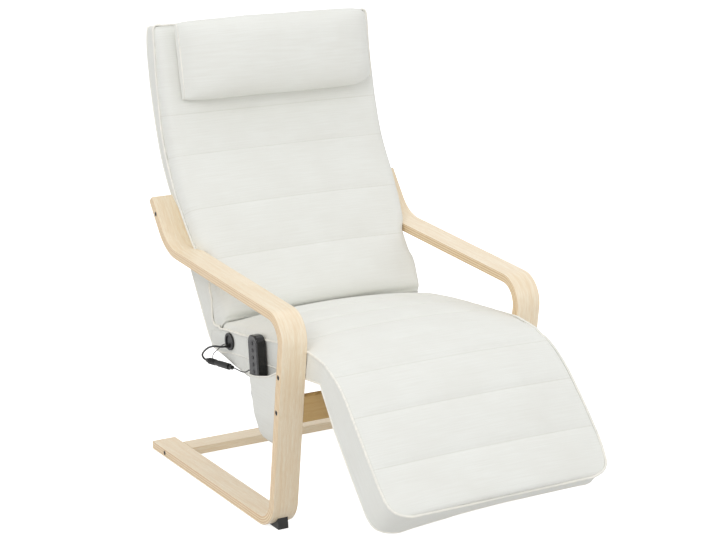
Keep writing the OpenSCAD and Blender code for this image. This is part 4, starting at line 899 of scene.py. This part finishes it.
# The flap that hangs from the cover on the sitter's right, and the pocket on it
flap = {
    "x": -269.4, "thick": 1.4, "cells": 9, "round": 12, "wave": 2.4, "seam": (89, 292, 376), "seamWire": 0.8,
    "fold": (70, 120), "fineFold": (25, 50, 80), "foldEnd": 390, "foldReach": 30,
    "outline": [(267, 350), (173, 364), (90, 378), (-40, 398), (-116, 398), (-112, 166), (-4, 160), (16, 240),
                (30, 284), (94, 286), (271, 310)],
}
pocket = {
    "x": -271.2, "depth": 28, "thick": 1.4, "columns": 44, "rows": 30, "hem": 2.0, "flatness": 7, "uneven": 0.05,
    "rear": table((0, 38), (0.17, 31), (0.4, 23), (0.75, 9), (0.94, 2), (1, -6)),
    "rearHeight": table((0, 309), (0.17, 285), (0.4, 251), (0.75, 200), (0.94, 170), (1, 163)),
    "front": table((0, -108), (0.55, -108), (0.93, -104), (1, -98)),
    "frontHeight": table((0, 352), (0.55, 250), (0.93, 176), (1, 168)),
    "mouth": table((0, 0), (0.4, -8), (0.71, -9), (1, 0)),
    "fullness": table((0, 1.0), (0.55, 1.0), (0.8, 0.72), (0.93, 0.38), (1, 0.05)),
}


def flapFold(spot):
    # how far the hanging flap stands out in its soft folds
    depth, height = spot.y / mm, spot.z / mm
    (wide, tall), (fine, slant, fineTall) = flap["fold"], flap["fineFold"]
    fold = noise((depth / wide, height / tall, 2.0))
    fold += 0.4 * noise((depth / fine + height / slant, height / fineTall, 6.0))
    return flap["wave"] * mm * abs(fold) * min(1.0, max(0.0, (flap["foldEnd"] - height) / flap["foldReach"]))


def flapPiece():
    bm = bmesh.new()
    bm.faces.new([bm.verts.new(place(flap["x"], p)) for p in flap["outline"]])
    bevelled(bm, bm.verts[:], flap["round"], 5, "VERTICES")
    for axis, normal in ((1, Vector((0, 1, 0))), (2, Vector((0, 0, 1)))):
        reach = [place(0, p)[axis] for p in flap["outline"]]
        spot = min(reach) + flap["cells"] * mm
        while spot < max(reach):
            geom = bm.verts[:] + bm.edges[:] + bm.faces[:]
            bmesh.ops.bisect_plane(bm, geom=geom, plane_co=normal * spot, plane_no=normal)
            spot += flap["cells"] * mm
    mapped(bm, {v: (v.co.y, v.co.z) for v in bm.verts})
    for v in bm.verts:
        v.co.x -= flapFold(v.co)
    faceAwayFrom(bm, place(0, (0, 300)))
    return thickened(meshOf("side_flap_cloth", bm), flap["thick"])


def pocketSpot(i, j):
    # columns run from the rear edge to the front edge, rows from the mouth down
    u, v = i / pocket["columns"], j / pocket["rows"]
    depth, height = (between([pocket[edge + end](v) for edge in ("rear", "front")], u) for end in ("", "Height"))
    height += pocket["mouth"](u) * (1 - v) ** 2
    bow = (1 - abs(2 * u - 1) ** pocket["flatness"]) ** (1 / 3)
    bulge = pocket["depth"] * bow * pocket["fullness"](v) * (1 - pocket["uneven"] * noise((u * 5, v * 4, 1.0)))
    return place(pocket["x"] - bulge, (depth, height)), (depth * mm, height * mm)


flapCloth = flapPiece()
bagGrid = clothGrid("side_pocket_bag", pocket["columns"], pocket["rows"], pocketSpot, place(-200, (-40, 250)))
pocketBag = thickened(bagGrid, pocket["thick"], 1)
pocketHem = cappedTube("pocket_hem", [pocketSpot(i, 0)[0] for i in range(pocket["columns"] + 1)], pocket["hem"], 3)
seamDepth, seamLow, seamHigh = flap["seam"]
seamLine = [place(flap["x"], (seamDepth, seamLow + (seamHigh - seamLow) * i / 12)) for i in range(13)]
flapSeam = cappedTube("flap_seam", [p - Vector((flapFold(p), 0, 0)) for p in seamLine], flap["seamWire"], 2)
print("flap and pocket made")

# The bent side frames
strip = {"ease": 1.6, "bore": 5.8, "boreDepth": 4.9, "spinSteps": 22}


def withEdges(faces):
    return list(dict.fromkeys(faces + [e for f in faces for e in f.edges] + [v for f in faces for v in f.verts]))


def onlyFaces(geom):
    return [g for g in geom if isinstance(g, bmesh.types.BMFace)]


def pushEnd(bm, faces, start, end):
    # extrudes the end of the strip and gives its new end
    made = bmesh.ops.extrude_face_region(bm, geom=faces)["geom"]
    verts = [g for g in made if isinstance(g, bmesh.types.BMVert)]
    bmesh.ops.translate(bm, verts=verts, vec=place(0, end) - place(0, start))
    return onlyFaces(made)


def crossesNear(face, spot, way):
    # whether a face crosses the strip at a bolt, where it is cut so that no face holds a whole bore
    for edge in face.edges:
        a, b = (v.co for v in edge.verts)
        before, after = (a - spot).dot(way), (b - spot).dot(way)
        if before * after < 0 and (a.lerp(b, before / (before - after)) - spot).yz.length < sizes["thick"] * mm:
            return True
    return False


def bentStrip(name, side):
    corners = chairLines["frame"]
    inner, outer = sorted((side * sizes["innerFace"], side * sizes["half"]))
    bm = bmesh.new()
    here = corners[0]
    up = leftOf((corners[1] - here).normalized()) * sizes["thick"] / 2
    rim = [place(x, here + up * k) for x, k in ((inner, -1), (outer, -1), (outer, 1), (inner, 1))]
    last = [bm.faces.new([bm.verts.new(spot) for spot in rim])]
    for bendStart, middle, turned in bends(corners, chairLines["frameBends"]):
        last = pushEnd(bm, last, here, bendStart)
        spun = bmesh.ops.spin(bm, geom=withEdges(last), cent=place(0, middle), axis=(1, 0, 0), angle=turned,
                              steps=strip["spinSteps"], use_duplicate=False)
        last = onlyFaces(spun["geom_last"])
        here = middle + Matrix.Rotation(turned, 2) @ (bendStart - middle)
    pushEnd(bm, last, here, corners[-1])
    mergeDoubles(bm)
    inside = [f for f in bm.faces if all(len(e.link_faces) > 2 for e in f.edges)]  # where a bend meets a straight
    bmesh.ops.delete(bm, geom=inside, context="FACES_ONLY")
    faceOut(bm)
    sharp = [e for e in bm.edges if len(e.link_faces) == 2 and e.calc_face_angle() > 1]
    bevelled(bm, sharp, strip["ease"], 3)
    cutter = bmesh.new()
    for bolt in chairLines["bolts"]:
        spot = place(0, bolt)
        way = min(((b - a).normalized() for a, b in zip(corners, corners[1:])),
                  key=lambda w: min(abs((Vector(bolt) - c).dot(leftOf(w))) for c in corners))
        across = Vector((0, way.x, way.y))
        cut = [f for f in bm.faces if crossesNear(f, spot, across)]
        bmesh.ops.bisect_plane(bm, geom=withEdges(cut), plane_co=spot, plane_no=across)
        turn = Matrix.Translation(place(side * sizes["half"], bolt)) @ Matrix.Rotation(pi / 2, 4, "Y")
        bmesh.ops.create_cone(cutter, cap_ends=True, segments=40, radius1=strip["bore"] * mm,
                              radius2=strip["bore"] * mm, depth=2 * strip["boreDepth"] * mm, matrix=turn)
    piece = meshOf(name, bm, smooth=False)
    bores = meshOf("bores", cutter)
    withModifier(piece, "BOOLEAN", operation="DIFFERENCE", solver="EXACT", object=bores)
    piece = settle(piece)
    bpy.data.objects.remove(bores)
    return piece


def evenShading(piece):
    # smooth round its bends and edges, flat on its flat faces
    piece.data.shade_smooth()
    piece.data.set_sharp_from_angle(angle=radians(35))
    return settle(withModifier(piece, "WEIGHTED_NORMAL", keep_sharp=True, weight=100))


framePath = bentLine(chairLines["frame"], chairLines["frameBends"], 24)
framePieces = list(zip(runAlong(framePath), framePath, framePath[1:]))


def onPiece(spot, run, a, b):
    # how far off a piece of the path a spot is, how far along and how deep
    way = (b - a).normalized()
    along = min(max((spot - a).dot(way), 0.0), (b - a).length)
    return (spot - a - way * along).length, run + along, (spot - a).dot(leftOf(way))


def grained(piece):
    # writes how far along, across and deep in the strip each vertex is
    found = []
    for v in piece.data.vertices:
        spot = Vector((v.co.y / mm - depthShift, v.co.z / mm))
        away, along, deep = min((onPiece(spot, *part) for part in framePieces), key=lambda found: found[0])
        found += [along * mm, v.co.x, deep * mm + 0.0001]
    piece.data.attributes.new("grain", "FLOAT_VECTOR", "POINT").data.foreach_set("vector", found)
    return piece


bentFrames = [evenShading(grained(bentStrip("bent_frame_" + key, side))) for key, side in sides.items()]
print("side frames bent")

# The handset: a rounded shell, a keypad and a light ring round each key
handset = {"out": -285.4, "foot": (-5.7, 258), "lean": 6.3, "width": 45, "height": 148, "thick": 23,
           "corners": (10, 17), "ease": 3.2, "pad": (37, 128, 2.0), "padCorners": (7, 14), "padEase": 0.4,
           "padProud": 0.5, "keys": 5, "firstKey": 66, "keyStep": 16, "ring": 5.9, "ringWire": 0.45}
handsetPlace = (Matrix.Translation(place(handset["out"], handset["foot"]))
                @ Matrix.Rotation(-radians(handset["lean"]), 4, "X"))


def roundedSlab(name, width, height, thick, corners, ease, out=0.0):
    middle = handset["height"] / 2
    bm = bmesh.new()
    bmesh.ops.create_cube(bm, size=1, matrix=Matrix.Diagonal((thick * mm, width * mm, height * mm, 1)))
    bmesh.ops.translate(bm, verts=bm.verts, vec=Vector((out, 0, middle)) * mm)
    for top, radius in zip((False, True), corners):
        edges = [e for e in bm.edges if abs(e.verts[0].co.x - e.verts[1].co.x) > 0.4 * thick * mm
                 and (e.verts[0].co.z > middle * mm) == top and e.calc_face_angle() > 1.2]
        bevelled(bm, edges, radius, 10)
    bevelled(bm, [e for e in bm.edges if e.calc_face_angle() > 1.2], ease, 4)
    bmesh.ops.transform(bm, matrix=handsetPlace, verts=bm.verts)
    return evenShading(meshOf(name, bm))


padFace = -handset["thick"] / 2 - handset["padProud"]
handsetBody = roundedSlab("handset_body", handset["width"], handset["height"], handset["thick"], handset["corners"],
                          handset["ease"])
keypad = roundedSlab("handset_keypad", *handset["pad"], handset["padCorners"], handset["padEase"],
                     padFace + handset["pad"][2] / 2)
rings = bmesh.new()
for i in range(handset["keys"]):
    circle = bmesh.ops.create_circle(rings, segments=10, radius=handset["ringWire"] * mm)["verts"]
    keyMiddle = Vector((padFace, 0, handset["firstKey"] + i * handset["keyStep"])) * mm
    bmesh.ops.rotate(rings, verts=circle, cent=(0, 0, 0), matrix=Matrix.Rotation(pi / 2, 3, "Z"))
    bmesh.ops.translate(rings, verts=circle, vec=keyMiddle + Vector((0, handset["ring"] * mm, 0)))
    edges = list(dict.fromkeys(e for v in circle for e in v.link_edges))
    bmesh.ops.spin(rings, geom=circle + edges, cent=keyMiddle, axis=(1, 0, 0), angle=tau, steps=40,
                   use_merge=True, use_duplicate=False)
mergeDoubles(rings)
faceOut(rings)
bmesh.ops.transform(rings, matrix=handsetPlace, verts=rings.verts)
keyRings = meshOf("handset_key_rings", rings)
print("handset made")

# What each new piece is made of, moves with and stands for
made = [
    (backPad, padCloth, "frame", "back_cushion"),
    (backLining, bandCloth, "frame", "cover_underside"),
    (footLining, bandCloth, "footrest", "footrest_underside"),
    (headrest, bandCloth, "pillow", "headrest_pillow"),
    (pillowSeams[0], pipingHighlightCloth, "pillow", "headrest_pillow"),
    (pillowSeams[1], pipingHighlightCloth, "pillow", "headrest_pillow"),
    (flapCloth, bandCloth, "frame", "side_flap"),
    (pocketBag, bandCloth, "frame", "side_pocket"),
    (pocketHem, pipingHighlightCloth, "frame", "side_pocket"),
    (flapSeam, smallCloth, "frame", "side_flap"),
    (bentFrames[0], bentBirch, "frame", "side_frame_right"),
    (bentFrames[1], bentBirch, "frame", "side_frame_left"),
    (handsetBody, glossBlack, "handset", "handset_rear", "handset_front"),
    (keypad, keypadGrey, "handset", "handset_front"),
    (keyRings, ringGrey, "handset", "handset_front"),
    (mainLead, cableRubber, "frame", "cushion_leads"),
    (tether, cableRubber, "frame", "cushion_leads"),
    (handsetLead, cableRubber, "frame", "lead_to_handset"),
]
acrossKnee = [
    (legPad, padCloth, "seat_cushion", "knee_cushion", "footrest_cushion"),
    (coverBand, bandCloth, "cover_underside", "footrest_underside"),
    (topPiping, pipingHighlightCloth, "cover_underside", "footrest_underside"),
    (hemPiping, pipingHighlightCloth, "cover_underside", "footrest_underside"),
]


def clad(piece, material, stands):
    piece.data.materials.clear()
    piece.data.materials.append(material)
    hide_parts(*stands)


for piece, material, body, *stands in made:
    clad(piece, material, stands)
    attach(piece, body)
for piece, material, *stands in acrossKnee:
    clad(piece, material, stands)
    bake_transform(piece)
for strap, x in zip(strapPieces, straps["places"]):
    clad(strap, smallCloth, ["headrest_straps"])
    low, high = (place(x, spot + up * straps["bendLift"]) for spot, up in map(onRail, straps["bend"]))
    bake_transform(strap)

# Finishes for the nodes of the CAD model
finishes = {"birch": railBirch, "cream_fabric": smallCloth, "black_plastic": blackPlastic, "grey_plastic": blackPlastic,
            "black_steel": blackSteel, "bright_steel": brightSteel, "cable_rubber": cableRubber, "keys": darkKeys,
            "blue_plastic": bluePlastic, "heating_cloth": redFelt, "foam": foamCell, "circuit": boardGreen}
# the front stretcher takes the birch with painted shade
ownFinish = {"front_stretcher": shadedStretcherBirch, "rear_floor_rail": crossBirch, "frame_slats": crossBirch,
             "cross_rails": crossBirch, "footrest_slats": crossBirch}
for part in frame["record"]["subparts"]:
    for slot in nodes[part["node"]].material_slots:
        slot.material = ownFinish.get(part["node"], finishes[part["material_slot"]])
print("finishes assigned")

# A pale floor and soft light
stage = {"floor": 0.74, "lift": 0.78, "world": 0.72, "size": 14, "drop": 0.4}
lamps = {  # place, size and power
    "key": ((-2.9, -2.2, 3.3), 2.2, 48),
    "fill": ((3.2, -2.8, 2.2), 2.6, 18),
    "top": ((0.4, 0.8, 4.0), 2.6, 15),
}


def backgroundRays(tree):
    # 1 where it is seen straight, in gloss or through something clear
    rays = addNode(tree, "LightPath").outputs
    other = maths("MAXIMUM", rays["Is Glossy Ray"], rays["Is Transmission Ray"])
    return maths("MAXIMUM", rays["Is Camera Ray"], other)


bm = bmesh.new()
bmesh.ops.create_grid(bm, x_segments=1, y_segments=1, size=stage["size"])
bmesh.ops.translate(bm, verts=bm.verts, vec=(0, 0, -stage["drop"] * mm))
floor = meshOf("floor", bm, smooth=False)
floorPaint = newMaterial("pale floor", (stage["floor"],) * 3, 0.8, Emission_Color=(1, 1, 1, 1))
tree = floorPaint.node_tree
feed(tree, Roughness=addNode(tree, "TexNoise", {"Scale": 3.0}).outputs[0],
     Emission_Strength=times(backgroundRays(tree), stage["lift"]))
floor.data.materials.append(floorPaint)

world = bpy.data.worlds.new("studio")
scene.world = world
world.use_nodes = True
sky = world.node_tree
background = sky.nodes["Background"]
background.inputs["Color"].default_value = (1, 1, 1, 1)
sky.links.new(ranged(backgroundRays(sky), 0.0, 1.0, stage["world"]), background.inputs["Strength"])

for name, (spot, size, power) in lamps.items():
    lamp = bpy.data.lights.new(name, "AREA")
    lamp.shape, lamp.size, lamp.energy = "DISK", size, power
    holder = addObject(name + "_lamp", lamp)
    holder.location = spot
    holder.rotation_euler = (Vector((0, 0, 0.5)) - Vector(spot)).to_track_quat("-Z", "Y").to_euler()
